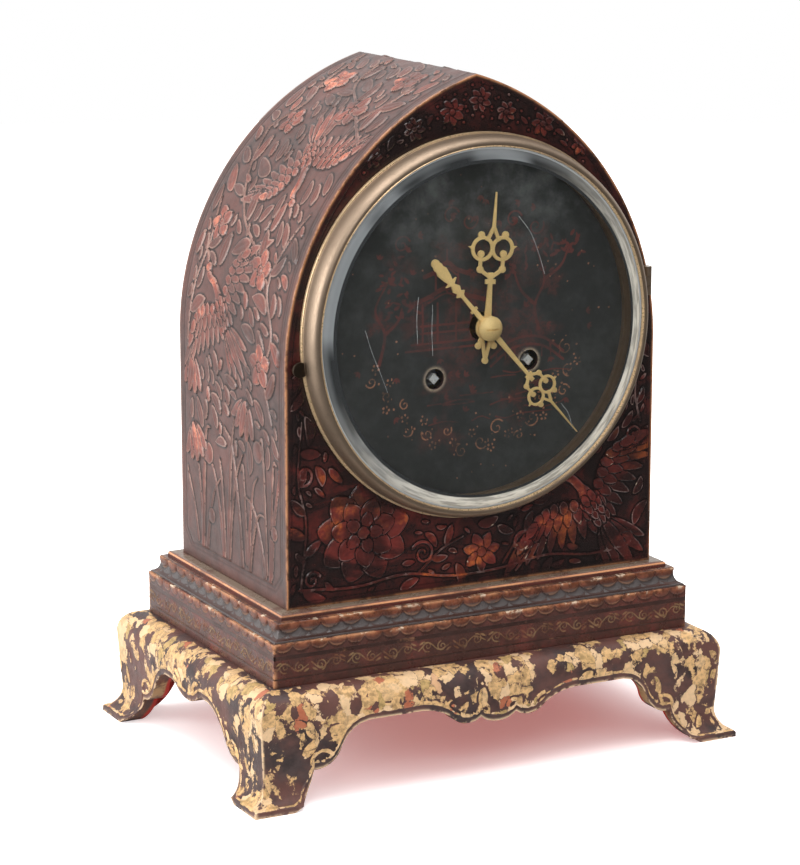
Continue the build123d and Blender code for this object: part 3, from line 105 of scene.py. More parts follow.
GLASS_RADIUS = 79.5
GLASS_LEVEL = 12.1
GLASS_RISE = 8.4
WINDING_HOLE = 5.0
CENTRE_HOLE = 7.0
HOLE_SNAP = 0.62
BARE = 9.0
CAMERA_PLACE = (-0.68505, -1.2980, 0.4804)
CAMERA_AIM = (-0.00851, 0.0, 0.15219)
LAMP_AIM = (0, 0, 0.15)
FLOOR_RADIUS = 2.6


# Settings that a user would change


def size(label, note, value, low, high):
    """Size setting, in millimetres."""
    return bpy.props.FloatProperty(name=label, description=f"{note}, mm", default=value, min=low, max=high)


class ClockSizes(bpy.types.PropertyGroup):
    """Sizes of the carving and ornament, in millimetres."""

    relief_height: size("Side carving", "Height of the carving on the sides", 1.5, 0.2, 3)
    front_height: size("Front carving", "Height of the raised work on the front", 0.9, 0.1, 2)
    side_cell: size("Side mesh", "Size of the side carving's mesh cells", 0.68, 0.4, 3)
    lappet_width: size("Lappet width", "Width of a lappet on the moulding", 10.7, 6, 30)
    scallop_width: size("Scallop width", "Width of a scallop on the frieze", 9.4, 4, 30)
    border_inset: size("Border", "Distance of the incised border from the edge", 6.0, 2, 15)


def colour(label, value):
    """Colour setting with its swatch."""
    note = f"Colour of the {label.lower()}"
    return bpy.props.FloatVectorProperty(
        name=label, description=note, subtype="COLOR", size=3, min=0, max=1, default=value
    )


class ClockColours(bpy.types.PropertyGroup):
    """Colours of the finishes."""

    side_ground: colour("Side ground", (0.072, 0.037, 0.031))
    side_warm: colour("Side carving", (0.3, 0.075, 0.05))
    side_orange: colour("Side orange", (0.58, 0.2, 0.115))
    # Pale rims on the carving: partly rubbed wear, partly a painted highlight.
    side_rim_highlight: colour("Side rim highlights", (0.40, 0.27, 0.22))
    front_ground: colour("Front ground", (0.014, 0.009, 0.0085))
    front_red: colour("Front red", (0.118, 0.019, 0.015))
    front_amber: colour("Front amber", (0.62, 0.15, 0.03))
    # Pale lines on the front's raised work: partly their own colour, partly a painted highlight.
    front_line_highlight: colour("Front lines and highlights", (0.24, 0.17, 0.155))
    worn_edge: colour("Worn edge", (0.46, 0.21, 0.1))
    chipped: colour("Chipped gesso", (0.66, 0.52, 0.38))
    plinth_ground: colour("Plinth ground", (0.062, 0.027, 0.021))
    plinth_red: colour("Plinth red", (0.13, 0.036, 0.027))
    plinth_warm: colour("Plinth lappets", (0.26, 0.08, 0.036))
    cove_grey: colour("Cove", (0.085, 0.072, 0.07))
    scroll_gilt: colour("Frieze scroll", (0.26, 0.17, 0.08))
    stand_ground: colour("Stand ground", (0.062, 0.038, 0.036))
    gold: colour("Gold leaf", (0.74, 0.46, 0.21))
    gold_worn: colour("Worn gold", (0.8, 0.56, 0.34))
    stand_red: colour("Stand red", (0.14, 0.055, 0.042))
    stand_green: colour("Stand green", (0.22, 0.19, 0.04))
    stand_coral: colour("Stand coral", (0.42, 0.09, 0.05))
    vermilion: colour("Stand inside", (0.48, 0.028, 0.016))
    # Colours of the reflections painted on the glass bevel.
    bevel_reflection_left: colour("Glass bevel reflection, left", (0.3, 0.32, 0.33))
    bevel_reflection_right: colour("Glass bevel reflection, right", (0.80, 0.76, 0.66))
    # Grey of the reflection painted over the top of the dial.
    dial_top_reflection: colour("Dial top reflection", (0.24, 0.25, 0.25))
    bezel: colour("Bezel brass", (0.31, 0.23, 0.165))
    gilt: colour("Hand brass", (0.98, 0.70, 0.30))
    movement: colour("Movement brass", (0.62, 0.45, 0.18))
    steel: colour("Steel", (0.55, 0.55, 0.54))
    blued: colour("Blued steel", (0.05, 0.06, 0.10))
    wood: colour("Bare wood", (0.28, 0.15, 0.07))
    dial: colour("Dial black", (0.046, 0.048, 0.047))
    dial_scene: colour("Dial red-brown", (0.19, 0.062, 0.055))
    dial_scroll: colour("Dial coral", (0.56, 0.25, 0.14))


class ClockStage(bpy.types.PropertyGroup):
    """Camera and light."""

    lens: bpy.props.FloatProperty(
        name="Lens", description="Camera lens, mm", default=125.76, min=10, max=400
    )
    key: bpy.props.FloatProperty(
        name="Top light", description="Overhead light", default=36, min=0, unit="POWER"
    )
    side: bpy.props.FloatProperty(
        name="Side light", description="Left light", default=31, min=0, unit="POWER"
    )
    ambient: bpy.props.FloatProperty(
        name="Ambient", description="Soft light from all round", default=0.68, min=0
    )


# Shader helpers


def add_node(tree, kind, inputs=None, **settings):
    """Add a node, set it up and fill or link its inputs."""
    node = tree.nodes.new(kind)
    for key, value in settings.items():
        setattr(node, key, value)
    for key, value in (inputs or {}).items():
        socket = node.inputs[key]
        if isinstance(value, bpy.types.NodeSocket):
            tree.links.new(value, socket)
        else:
            socket.default_value = value
    return node


def calc(tree, operation, first, second=0.0):
    """Math node's result."""
    return add_node(tree, "ShaderNodeMath", {0: first, 1: second}, operation=operation).outputs[0]


def times(tree, first, second):
    """Product of two values."""
    return calc(tree, "MULTIPLY", first, second)


def plus(tree, first, second):
    """Sum of two values."""
    return calc(tree, "ADD", first, second)


def minus(tree, first, second):
    """First value less the second."""
    return calc(tree, "SUBTRACT", first, second)


def most(tree, first, second):
    """Larger of two values."""
    return calc(tree, "MAXIMUM", first, second)


def shade(tone, share):
    """Colour made lighter or darker by a share."""
    return [min(c * share, 1) for c in tone]


def blend(tree, factor, first, second):
    """Mixed colour of two sockets or colours."""
    values = {0: factor}
    for key, value in ((6, first), (7, second)):
        values[key] = value if isinstance(value, bpy.types.NodeSocket) else (*value, 1)
    return add_node(tree, "ShaderNodeMix", values, data_type="RGBA").outputs[2]


def spread(tree, value, low, high, to_low=0.0, to_high=1.0):
    """Smooth step from one range to another."""
    values = {0: value, 1: low, 2: high, 3: to_low, 4: to_high}
    return add_node(tree, "ShaderNodeMapRange", values, interpolation_type="SMOOTHSTEP").outputs[0]


def object_place(tree):
    """Object coordinates."""
    return add_node(tree, "ShaderNodeTexCoord").outputs["Object"]


def noise(tree, place, scale, detail=4.0, rough=0.55, distort=0.0):
    """Noise value at a place."""
    values = {"Vector": place, "Scale": scale, "Detail": detail, "Roughness": rough, "Distortion": distort}
    return add_node(tree, "ShaderNodeTexNoise", values).outputs[0]


def attribute(tree, name):
    """Value painted on the mesh."""
    return add_node(tree, "ShaderNodeAttribute", attribute_name=name).outputs["Fac"]


def new_group(name, inputs, outputs):
    """Empty shader group with named values in and out."""
    group = bpy.data.node_groups.new(name, "ShaderNodeTree")
    for label, value in inputs:
        socket = group.interface.new_socket(label, in_out="INPUT", socket_type="NodeSocketFloat")
        socket.default_value = value
    for label in outputs:
        group.interface.new_socket(label, in_out="OUTPUT", socket_type="NodeSocketFloat")
    return group, group.nodes.new("NodeGroupInput"), group.nodes.new("NodeGroupOutput")


def wear_group():
    """Blotchy wear mask in two sizes, shared by the finishes."""
    if "Clock wear" in bpy.data.node_groups:
        return bpy.data.node_groups["Clock wear"]
    group, given, result = new_group(
        "Clock wear", (("Scale", 60.0), ("Amount", 0.5), ("Softness", 0.08)), ("Mask",)
    )
    place = object_place(group)
    large = noise(group, place, given.outputs["Scale"], 5, 0.62, 0.4)
    small = noise(group, place, times(group, given.outputs["Scale"], 4.3), 3, 0.6)
    both = plus(group, times(group, large, 0.68), times(group, small, 0.32))
    level = minus(group, 1.0, given.outputs["Amount"])
    low = minus(group, level, given.outputs["Softness"])
    high = plus(group, level, given.outputs["Softness"])
    group.links.new(spread(group, both, low, high), result.inputs["Mask"])
    return group


def surface_group():
    """Fine unevenness of old lacquer and paint, as a height, and dust as a mask."""
    if "Clock surface" in bpy.data.node_groups:
        return bpy.data.node_groups["Clock surface"]
    group, given, result = new_group("Clock surface", (("Scale", 400.0), ("Dust", 0.4)), ("Height", "Dust"))
    place = object_place(group)
    ripple = noise(group, place, times(group, given.outputs["Scale"], 0.16), 2, 0.5)
    grain = noise(group, place, given.outputs["Scale"], 4, 0.65)
    both = plus(group, times(group, ripple, 0.7), times(group, grain, 0.3))
    group.links.new(both, result.inputs["Height"])
    specks = noise(group, place, times(group, given.outputs["Scale"], 2.6), 2, 0.5)
    dust = times(group, spread(group, specks, 0.66, 0.78), given.outputs["Dust"])
    group.links.new(dust, result.inputs["Dust"])
    return group


def wear(tree, scale, amount, softness=0.08):
    """Place the wear group."""
    values = {"Scale": scale, "Amount": amount, "Softness": softness}
    node = add_node(tree, "ShaderNodeGroup", node_tree=wear_group())
    for key, value in values.items():
        if isinstance(value, bpy.types.NodeSocket):
            tree.links.new(value, node.inputs[key])
        else:
            node.inputs[key].default_value = value
    return node.outputs["Mask"]


def surface(tree, scale, dust=0.4):
    """Place the surface group."""
    node = add_node(tree, "ShaderNodeGroup", node_tree=surface_group())
    node.inputs["Scale"].default_value = scale
    node.inputs["Dust"].default_value = dust
    return node.outputs["Height"], node.outputs["Dust"]


def start_material(name, **constants):
    """New material with its shader, and plain values on the shader's own sockets."""
    material = bpy.data.materials.new(name)
    material.use_nodes = True
    tree = material.node_tree
    tree.nodes.clear()
    shader = tree.nodes.new("ShaderNodeBsdfPrincipled")
    output = tree.nodes.new("ShaderNodeOutputMaterial")
    tree.links.new(shader.outputs[0], output.inputs[0])
    for key, value in constants.items():
        shader.inputs[key.replace("_", " ")].default_value = value
    return material, tree, shader


def skin(tree, shader, height, smooth, rough):
    """Roughness that follows the surface's fine unevenness."""
    tree.links.new(spread(tree, height, 0.3, 0.7, smooth, rough), shader.inputs["Roughness"])


def bump(tree, shader, height, strength, distance):
    """Bump from a height, in metres."""
    node = add_node(tree, "ShaderNodeBump", {"Height": height, "Strength": strength, "Distance": distance})
    tree.links.new(node.outputs[0], shader.inputs["Normal"])


# Finishes


def side_lacquer(colours):
    """Carved lacquer of the sides: brown ground, reddened high work, pale rims partly rubbed and partly a
    painted highlight, painted shade beside the carving and in its grooves.
    """
    material, tree, shader = start_material("Side carved lacquer", Specular_IOR_Level=0.5)
    edge = attribute(tree, "edge")
    patch = wear(tree, 26, 0.5, 0.16)
    fine = wear(tree, 150, 0.5, 0.12)
    ground = blend(tree, fine, colours.side_ground, shade(colours.side_ground, 0.62))
    ground = blend(tree, times(tree, patch, 0.2), ground, colours.side_warm)
    tone = times(tree, attribute(tree, "warm"), spread(tree, patch, 0, 1, 0.25, 1.0))
    tone = times(tree, tone, spread(tree, fine, 0, 1, 0.7, 1.0))
    body = blend(tree, tone, ground, colours.side_warm)
    hot = times(tree, spread(tree, tone, 0.5, 0.9), spread(tree, fine, 0, 1, 0.2, 0.8))
    body = blend(tree, hot, body, colours.side_orange)
    # Pale rims just inside each motif's edge: partly rubbed wear, partly a painted highlight.
    rim = times(tree, spread(tree, edge, -0.9, -0.25), spread(tree, edge, 0.0, 0.15, 1.0, 0.0))
    body = blend(tree, times(tree, rim, spread(tree, patch, 0, 1, 0.12, 0.5)), body, colours.side_rim_highlight)
    # Painted shade: the ground darkened just outside each motif's edge and in the border's grooves.
    hollow_shade = times(tree, spread(tree, edge, 0.0, 0.1), spread(tree, edge, 0.3, 1.6, 0.9, 0.0))
    hollow_shade = most(tree, hollow_shade, times(tree, attribute(tree, "hollow_shade"), 0.7))
    body = blend(tree, hollow_shade, body, shade(colours.side_ground, 0.18))
    worn = attribute(tree, "worn")
    body = blend(tree, times(tree, worn, spread(tree, fine, 0, 1, 0.2, 0.8)), body, colours.worn_edge)
    chip = times(tree, most(tree, worn, rim), wear(tree, 130, 0.30, 0.03))
    body = blend(tree, times(tree, chip, 0.6), body, colours.chipped)
    tree.links.new(body, shader.inputs["Base Color"])
    height = surface(tree, 900)[0]
    skin(tree, shader, height, 0.28, 0.44)
    bump(tree, shader, height, 0.3, 0.0006)
    return material


def front_lacquer(colours):
    """Deep glossy lacquer of the front: near black, with red and amber showing through."""
    material, tree, shader = start_material("Front lacquer", Specular_IOR_Level=0.5)
    warm = attribute(tree, "warm")
    edge = attribute(tree, "edge")
    cloud = wear(tree, 19, 0.46, 0.12)
    fine = wear(tree, 120, 0.5, 0.12)
    amber = wear(tree, 40, 0.41, 0.08)
    broken = wear(tree, 58, 0.44, 0.08)
    ground = blend(
        tree, times(tree, cloud, spread(tree, fine, 0, 1, 0.3, 0.7)), colours.front_ground,
        colours.front_red
    )
    red = blend(
        tree, times(tree, amber, spread(tree, fine, 0, 1, 0.15, 1.0)), shade(colours.front_red, 1.5),
        colours.front_amber
    )
    body = blend(tree, times(tree, warm, spread(tree, cloud, 0, 1, 0.25, 0.95)), ground, red)
    smoke = add_node(tree, "ShaderNodeMapping", {"Vector": object_place(tree), "Scale": (0.6, 1, 1.5)})
    smoke = spread(tree, noise(tree, smoke.outputs[0], 34, 5, 0.6, 0.8), 0.46, 0.60, 0.0, 0.8)
    body = blend(tree, smoke, body, colours.front_ground)
    # Painted shade: the ground darkened just outside each raised motif and in the groove round the bezel.
    hollow_shade = times(tree, spread(tree, edge, 0.0, 0.1), spread(tree, edge, 0.2, 1.4, 0.85, 0.0))
    hollow_shade = most(tree, hollow_shade, times(tree, attribute(tree, "hollow_shade"), 0.8))
    body = blend(tree, hollow_shade, body, shade(colours.front_ground, 0.5))
    # Pale lines on the raised outlines: partly their own colour, partly a painted highlight.
    line = times(tree, spread(tree, edge, -0.58, -0.40), spread(tree, edge, -0.16, 0.06, 1.0, 0.0))
    body = blend(tree, times(tree, line, spread(tree, broken, 0, 1, 0.0, 0.45)), body, colours.front_line_highlight)
    # Painted glints: bright specks along the raised lines, in the chipped gesso colour.
    glint = times(tree, line, wear(tree, 110, 0.36, 0.04))
    body = blend(tree, times(tree, glint, 0.85), body, colours.chipped)
    rub = times(tree, attribute(tree, "worn"), spread(tree, wear(tree, 75, 0.55, 0.1), 0, 1, 0.25, 1))
    body = blend(tree, rub, body, colours.worn_edge)
    tree.links.new(body, shader.inputs["Base Color"])
    height = surface(tree, 700)[0]
    skin(tree, shader, height, 0.09, 0.24)
    bump(tree, shader, height, 0.28, 0.0005)
    return material


def plain_lacquer(colours):
    """Flat dark lacquer of the back and of what lies under the carving."""
    material, tree, shader = start_material("Plain dark lacquer", Specular_IOR_Level=0.45)
    body = blend(tree, wear(tree, 22, 0.5, 0.15), colours.plinth_ground, shade(colours.plinth_ground, 0.55))
    body = blend(tree, times(tree, wear(tree, 60, 0.36, 0.06), 0.35), body, colours.worn_edge)
    height, dust = surface(tree, 700)
    body = blend(tree, times(tree, dust, 0.3), body, colours.chipped)
    tree.links.new(body, shader.inputs["Base Color"])
    skin(tree, shader, height, 0.24, 0.44)
    bump(tree, shader, height, 0.25, 0.0006)
    return material


def plinth_lacquer(colours):
    """Lacquer of the plinth's mouldings: red-brown, lappets rubbed to orange with rims partly a painted
    highlight, painted shade under them and in the grooves, grey cove, chipped edges.
    """
    material, tree, shader = start_material("Plinth lacquer", Specular_IOR_Level=0.4)
    worn = attribute(tree, "worn")
    fine = wear(tree, 120, 0.5, 0.12)
    cloud = wear(tree, 34, 0.5, 0.12)
    ground = blend(tree, times(tree, cloud, fine), colours.plinth_ground, colours.plinth_red)
    ground = blend(tree, attribute(tree, "grey"), ground, colours.cove_grey)
    lappet = blend(
        tree, spread(tree, fine, 0, 1, 0.1, 0.75), shade(colours.plinth_warm, 0.3), colours.plinth_warm
    )
    body = blend(tree, attribute(tree, "warm"), ground, lappet)
    # Painted shade under the lappets and in the incised grooves and lines.
    hollow_shade = times(tree, attribute(tree, "hollow_shade"), 0.85)
    body = blend(tree, hollow_shade, body, shade(colours.plinth_ground, 0.25))
    # Orange rim near each lappet's lower edge: partly rubbed wear, partly a painted highlight.
    ring = times(tree, attribute(tree, "outline"), spread(tree, wear(tree, 85, 0.5, 0.08), 0, 1, 0.05, 0.4))
    body = blend(tree, ring, body, colours.worn_edge)
    scroll = times(tree, spread(tree, attribute(tree, "edge"), -0.12, 0.12, 1.0, 0.0),
                  spread(tree, wear(tree, 70, 0.5, 0.12), 0, 1, 0.12, 0.6))
    body = blend(tree, scroll, body, colours.scroll_gilt)
    rub = times(tree, worn, wear(tree, 60, 0.49, 0.06))
    body = blend(tree, rub, body, colours.worn_edge)
    chip = times(tree, worn, wear(tree, 95, 0.42, 0.02))
    body = blend(tree, chip, body, colours.chipped)
    tree.links.new(body, shader.inputs["Base Color"])
    height = surface(tree, 900)[0]
    skin(tree, shader, height, 0.20, 0.38)
    bump(tree, shader, height, 0.35, 0.0006)
    return material


def cap_lacquer(colours):
    """Lacquer of the cap moulding, rubbed to copper along its rounded edge."""
    material, tree, shader = start_material("Cap lacquer", Specular_IOR_Level=0.55)
    place = add_node(tree, "ShaderNodeSeparateXYZ", {0: object_place(tree)})
    rise = spread(tree, place.outputs[2], (CASE_BOTTOM - 1.55) * MM, (CASE_BOTTOM - 1.15) * MM)
    fall = spread(tree, place.outputs[2], (CASE_BOTTOM - 0.75) * MM, (CASE_BOTTOM - 0.35) * MM, 1.0, 0.0)
    level = times(tree, rise, fall)
    body = blend(tree, wear(tree, 30, 0.5, 0.14), shade(colours.plinth_ground, 1.3), colours.plinth_red)
    facing = add_node(
        tree, "ShaderNodeSeparateXYZ", {0: add_node(tree, "ShaderNodeNewGeometry").outputs["Normal"]}
    )
    ledge = times(
        tree, spread(tree, facing.outputs[2], 0.7, 0.97),
        spread(tree, wear(tree, 60, 0.55, 0.1), 0, 1, 0.2, 0.8)
    )
    body = blend(tree, ledge, body, shade(colours.chipped, 0.36))
    line = times(tree, level, spread(tree, wear(tree, 26, 0.56, 0.14), 0, 1, 0.25, 1.0))
    body = blend(tree, line, body, shade(colours.worn_edge, 1.4))
    chip = times(tree, level, wear(tree, 120, 0.33, 0.03))
    body = blend(tree, times(tree, chip, 0.75), body, colours.chipped)
    tree.links.new(body, shader.inputs["Base Color"])
    height = surface(tree, 900)[0]
    skin(tree, shader, height, 0.20, 0.36)
    bump(tree, shader, height, 0.25, 0.0005)
    return material


def gilded_ground(colours):
    """Stand: flakes of worn gold leaf over an aubergine ground, a few of them green or red."""
    material, tree, shader = start_material("Gilded stand", Specular_IOR_Level=0.4)
    place = object_place(tree)
    stir = add_node(
        tree, "ShaderNodeTexNoise", {"Vector": place, "Scale": 170.0, "Detail": 4.0, "Roughness": 0.62}
    )
    stir = add_node(
        tree, "ShaderNodeVectorMath", {0: stir.outputs["Color"], 1: (0.5, 0.5, 0.5)}, operation="SUBTRACT"
    )
    stir = add_node(
        tree, "ShaderNodeVectorMath", {0: stir.outputs[0], 1: (0.008, 0.008, 0.008), 2: place},
        operation="MULTIPLY_ADD"
    )
    drawn = add_node(tree, "ShaderNodeMapping", {"Vector": stir.outputs[0], "Scale": (1.15, 1.15, 0.7)})
    flakes = add_node(tree, "ShaderNodeTexVoronoi", {"Vector": drawn.outputs[0], "Scale": 165.0})
    cracks = add_node(
        tree, "ShaderNodeTexVoronoi", {"Vector": drawn.outputs[0], "Scale": 165.0},
        feature="DISTANCE_TO_EDGE"
    )
    flake = add_node(tree, "ShaderNodeSeparateColor", {0: flakes.outputs["Color"]})
    clump = noise(tree, place, 40, 3, 0.5)
    fine = noise(tree, place, 420, 5, 0.66)
    level = plus(tree, times(tree, flake.outputs[0], 0.46), times(tree, clump, 1.0))
    level = plus(tree, level, attribute(tree, "gold"))
    level = plus(tree, level, times(tree, minus(tree, fine, 0.5), 0.34))
    mask = spread(tree, level, 0.742, 0.782)
    crack = spread(tree, plus(tree, cracks.outputs["Distance"], times(tree, fine, 0.10)), 0.05, 0.09)
    mask = times(tree, mask, most(tree, crack, spread(tree, clump, 0.5, 0.62)))
    cloud = wear(tree, 42, 0.5, 0.12)
    ground = blend(tree, cloud, colours.stand_ground, shade(colours.stand_ground, 0.45))
    ground = blend(tree, times(tree, wear(tree, 24, 0.5, 0.1), 0.75), ground, colours.stand_red)
    leaf = blend(tree, spread(tree, fine, 0.35, 0.62), shade(colours.gold, 0.50), colours.gold)
    leaf = blend(tree, spread(tree, flake.outputs[1], 0.35, 1.0, 0.0, 0.75), leaf, colours.gold_worn)
    green = spread(tree, flake.outputs[1], 0.06, 0.09, 0.36, 0.0)
    leaf = blend(tree, green, leaf, colours.stand_green)
    red = spread(tree, flake.outputs[2], 0.984, 0.988, 0.0, 0.8)
    leaf = blend(tree, red, leaf, colours.stand_coral)
    body = blend(tree, mask, ground, leaf)
    chip = times(tree, attribute(tree, "worn"), wear(tree, 115, 0.52, 0.03))
    body = blend(tree, times(tree, chip, 0.8), body, colours.gold_worn)
    tree.links.new(body, shader.inputs["Base Color"])
    tree.links.new(times(tree, mask, 0.22), shader.inputs["Metallic"])
    height = surface(tree, 1000)[0]
    skin(tree, shader, height, 0.34, 0.56)
    bump(tree, shader, plus(tree, times(tree, mask, 0.5), fine), 0.5, 0.0005)
    return material


def stand_inside(colours):
    """Vermilion paint inside the stand, with dark lower edges."""
    material, tree, shader = start_material("Stand inside", Specular_IOR_Level=0.35)
    place = add_node(tree, "ShaderNodeSeparateXYZ", {0: object_place(tree)})
    across = minus(tree, calc(tree, "ABSOLUTE", place.outputs[0]), CASE_HALF * MM)
    deep = minus(tree, calc(tree, "ABSOLUTE", place.outputs[1]), BACK_Y * MM)
    out = most(tree, across, deep)
    limit = spread(tree, place.outputs[2], 0.0, 0.014, 0.0225, 0.0186)
    inside = spread(tree, minus(tree, limit, out), -0.0008, 0.0008)
    red = blend(tree, wear(tree, 34, 0.5, 0.16), colours.vermilion, shade(colours.vermilion, 0.72))
    edge = blend(tree, wear(tree, 90, 0.5, 0.1), colours.stand_ground, [0.16, 0.06, 0.03])
    edge = blend(tree, times(tree, wear(tree, 60, 0.45, 0.05), 0.6), edge, shade(colours.gold, 0.7))
    tree.links.new(blend(tree, inside, edge, red), shader.inputs["Base Color"])
    height = surface(tree, 800)[0]
    skin(tree, shader, height, 0.45, 0.65)
    bump(tree, shader, height, 0.3, 0.0006)
    return material


def bare_wood(colours):
    """Plain sawn wood inside, with grain along the board."""
    material, tree, shader = start_material("Bare wood", Specular_IOR_Level=0.3)
    stretch = add_node(tree, "ShaderNodeMapping", {"Vector": object_place(tree), "Scale": (6, 60, 60)})
    rings = noise(tree, stretch.outputs[0], 2.2, 6, 0.6, 0.8)
    body = blend(tree, spread(tree, rings, 0.35, 0.65), colours.wood, shade(colours.wood, 0.5))
    body = blend(tree, times(tree, wear(tree, 30, 0.4, 0.1), 0.4), body, shade(colours.wood, 0.3))
    tree.links.new(body, shader.inputs["Base Color"])
    tree.links.new(spread(tree, rings, 0.3, 0.7, 0.55, 0.75), shader.inputs["Roughness"])
    bump(tree, shader, rings, 0.3, 0.0008)
    return material


def metal(name, base, rough, tarnish, amount, grain=(1, 1, 1), metallic=1.0):
    """Metal with drawn grain, tarnish in patches and handling marks."""
    material, tree, shader = start_material(name, Metallic=metallic)
    place = object_place(tree)
    stretch = add_node(tree, "ShaderNodeMapping", {"Vector": place, "Scale": grain})
    lines = noise(tree, stretch.outputs[0], 900, 3, 0.6)
    patch = wear(tree, 38, amount, 0.16)
    spots = wear(tree, 170, 0.34, 0.05)
    body = blend(tree, patch, base, tarnish)
    body = blend(tree, times(tree, spots, 0.35), body, shade(tarnish, 0.5))
    tree.links.new(body, shader.inputs["Base Color"])
    level = plus(tree, times(tree, patch, 0.12), spread(tree, lines, 0.3, 0.7, rough - 0.06, rough + 0.06))
    tree.links.new(level, shader.inputs["Roughness"])
    bump(tree, shader, lines, 0.06, 0.0002)
    return material


def let_light_through(tree, shader):
    """Let the lamps' light pass the glass to what lies behind it."""
    light = tree.nodes.new("ShaderNodeLightPath")
    clear = add_node(tree, "ShaderNodeBsdfTransparent", {"Color": (0.90, 0.91, 0.90, 1)})
    both = add_node(
        tree, "ShaderNodeMixShader", {
            0: light.outputs["Is Shadow Ray"], 1: shader.outputs[0], 2: clear.outputs[0]
        }
    )
    tree.links.new(both.outputs[0], next(n for n in tree.nodes if n.type == "OUTPUT_MATERIAL").inputs[0])


def clear_glass():
    """Clear glass with a faint tint."""
    material, tree, shader = start_material(
        "Bezel glass", Metallic=0.0, Transmission_Weight=1.0, IOR=1.5, Roughness=0.0
    )
    haze = wear(tree, 34, 0.42, 0.2)
    tree.links.new(
        blend(tree, haze, (0.985, 0.99, 0.985), (0.96, 0.97, 0.965)), shader.inputs["Base Color"]
    )
    let_light_through(tree, shader)
    return material


def bevel_painted_reflections(colours):
    """Ground bevel of the glass with painted reflections: silver on the left and top, creamy and streaked on
    the right and below.
    """
    material, tree, shader = start_material(
        "Glass bevel", Metallic=0.0, Transmission_Weight=0.3, IOR=1.5, Specular_IOR_Level=0.22
    )
    place = add_node(tree, "ShaderNodeSeparateXYZ", {0: object_place(tree)})
    rise = minus(tree, place.outputs[2], DIAL_Z * MM)
    square = plus(tree, calc(tree, "POWER", place.outputs[0], 2.0), calc(tree, "POWER", rise, 2.0))
    radius = calc(tree, "SQRT", square)
    side = spread(tree, minus(tree, place.outputs[0], rise), -0.06, 0.09)
    slow = add_node(tree, "ShaderNodeCombineXYZ", {0: times(tree, place.outputs[0], 0.12),
                                                   1: times(tree, rise, 0.12), 2: radius})
    streaks = noise(tree, slow.outputs[0], 640, 3, 0.6)
    inner, outer = 80.8 * MM, 85.6 * MM
    # Painted reflections: a dark inner edge, a pale outer edge, silver on the left and top, cream streaks on
    # the right and below.
    dark, pale = shade(colours.bevel_reflection_left, 0.12), shade(colours.bevel_reflection_left, 2.0)
    stretch = spread(tree, noise(tree, object_place(tree), 19, 2), 0.42, 0.58)
    left_reflection = blend(tree, stretch, shade(colours.bevel_reflection_left, 0.85), dark)
    left_reflection = blend(tree, spread(tree, radius, 0.0822, 0.0850, 0.0, 0.2), left_reflection, pale)
    warm = blend(
        tree, spread(tree, streaks, 0.40, 0.62), colours.bevel_reflection_right, shade(colours.bevel_reflection_right, 0.5)
    )
    both = blend(tree, side, left_reflection, warm)
    both = blend(tree, spread(tree, radius, inner, inner + 0.4 * MM, 1.0, 0.0), both, dark)
    both = blend(tree, spread(tree, radius, outer, outer + 0.3 * MM), both, pale)
    tree.links.new(both, shader.inputs["Base Color"])
    tree.links.new(spread(tree, streaks, 0.3, 0.7, 0.06, 0.2), shader.inputs["Roughness"])
    let_light_through(tree, shader)
    return material


def dial_paint(colours):
    """Black painted dial with a faded red-brown scene, coral scrolls, fine dust specks and a grey painted
    reflection near the top.
    """
    material, tree, shader = start_material("Dial paint", Specular_IOR_Level=0.35)
    fine = wear(tree, 190, 0.5, 0.1)
    cloud = wear(tree, 42, 0.46, 0.14)
    ground = blend(tree, cloud, colours.dial, shade(colours.dial, 1.6))
    ground = blend(
        tree, times(tree, attribute(tree, "cloud"), spread(tree, fine, 0, 1, 0.12, 0.55)), ground,
        colours.dial_scene
    )
    drawn = spread(tree, attribute(tree, "scene"), -0.2, 0.2, 1.0, 0.0)
    faded = times(tree, drawn, spread(tree, wear(tree, 60, 0.5, 0.16), 0, 1, 0.35, 1.0))
    body = blend(tree, faded, ground, colours.dial_scene)
    drawn = spread(tree, attribute(tree, "scroll"), -0.15, 0.15, 1.0, 0.0)
    rubbed = times(tree, drawn, spread(tree, wear(tree, 90, 0.5, 0.1), 0, 1, 0.15, 0.85))
    body = blend(tree, rubbed, body, colours.dial_scroll)
    # Painted reflection: a grey haze over the upper part of the dial.
    place = add_node(tree, "ShaderNodeSeparateXYZ", {0: object_place(tree)})
    top = spread(tree, place.outputs[2], (DIAL_Z + 12) * MM, (DIAL_Z + 76) * MM)
    haze = times(
        tree, top, spread(tree, noise(tree, object_place(tree), 46, 6, 0.68), 0.40, 0.72, 0.0, 0.75)
    )
    body = blend(tree, haze, body, colours.dial_top_reflection)
    body = blend(
        tree, times(tree, attribute(tree, "worn"), wear(tree, 260, 0.6, 0.06)), body, colours.chipped
    )
    height, dust = surface(tree, 900, 0.5)
    body = blend(tree, times(tree, dust, 0.35), body, colours.chipped)
    tree.links.new(body, shader.inputs["Base Color"])
    skin(tree, shader, height, 0.40, 0.55)
    return material


def scratch_white():
    """Bright line of a scratch or fibre on the glass."""
    material, tree, shader = start_material("Glass scratch", Roughness=0.35)
    tone = blend(tree, wear(tree, 300, 0.5, 0.1), (0.55, 0.57, 0.56), (0.20, 0.21, 0.21))
    tree.links.new(tone, shader.inputs["Base Color"])
    return material


# Carving drawn on a surface, in millimetres


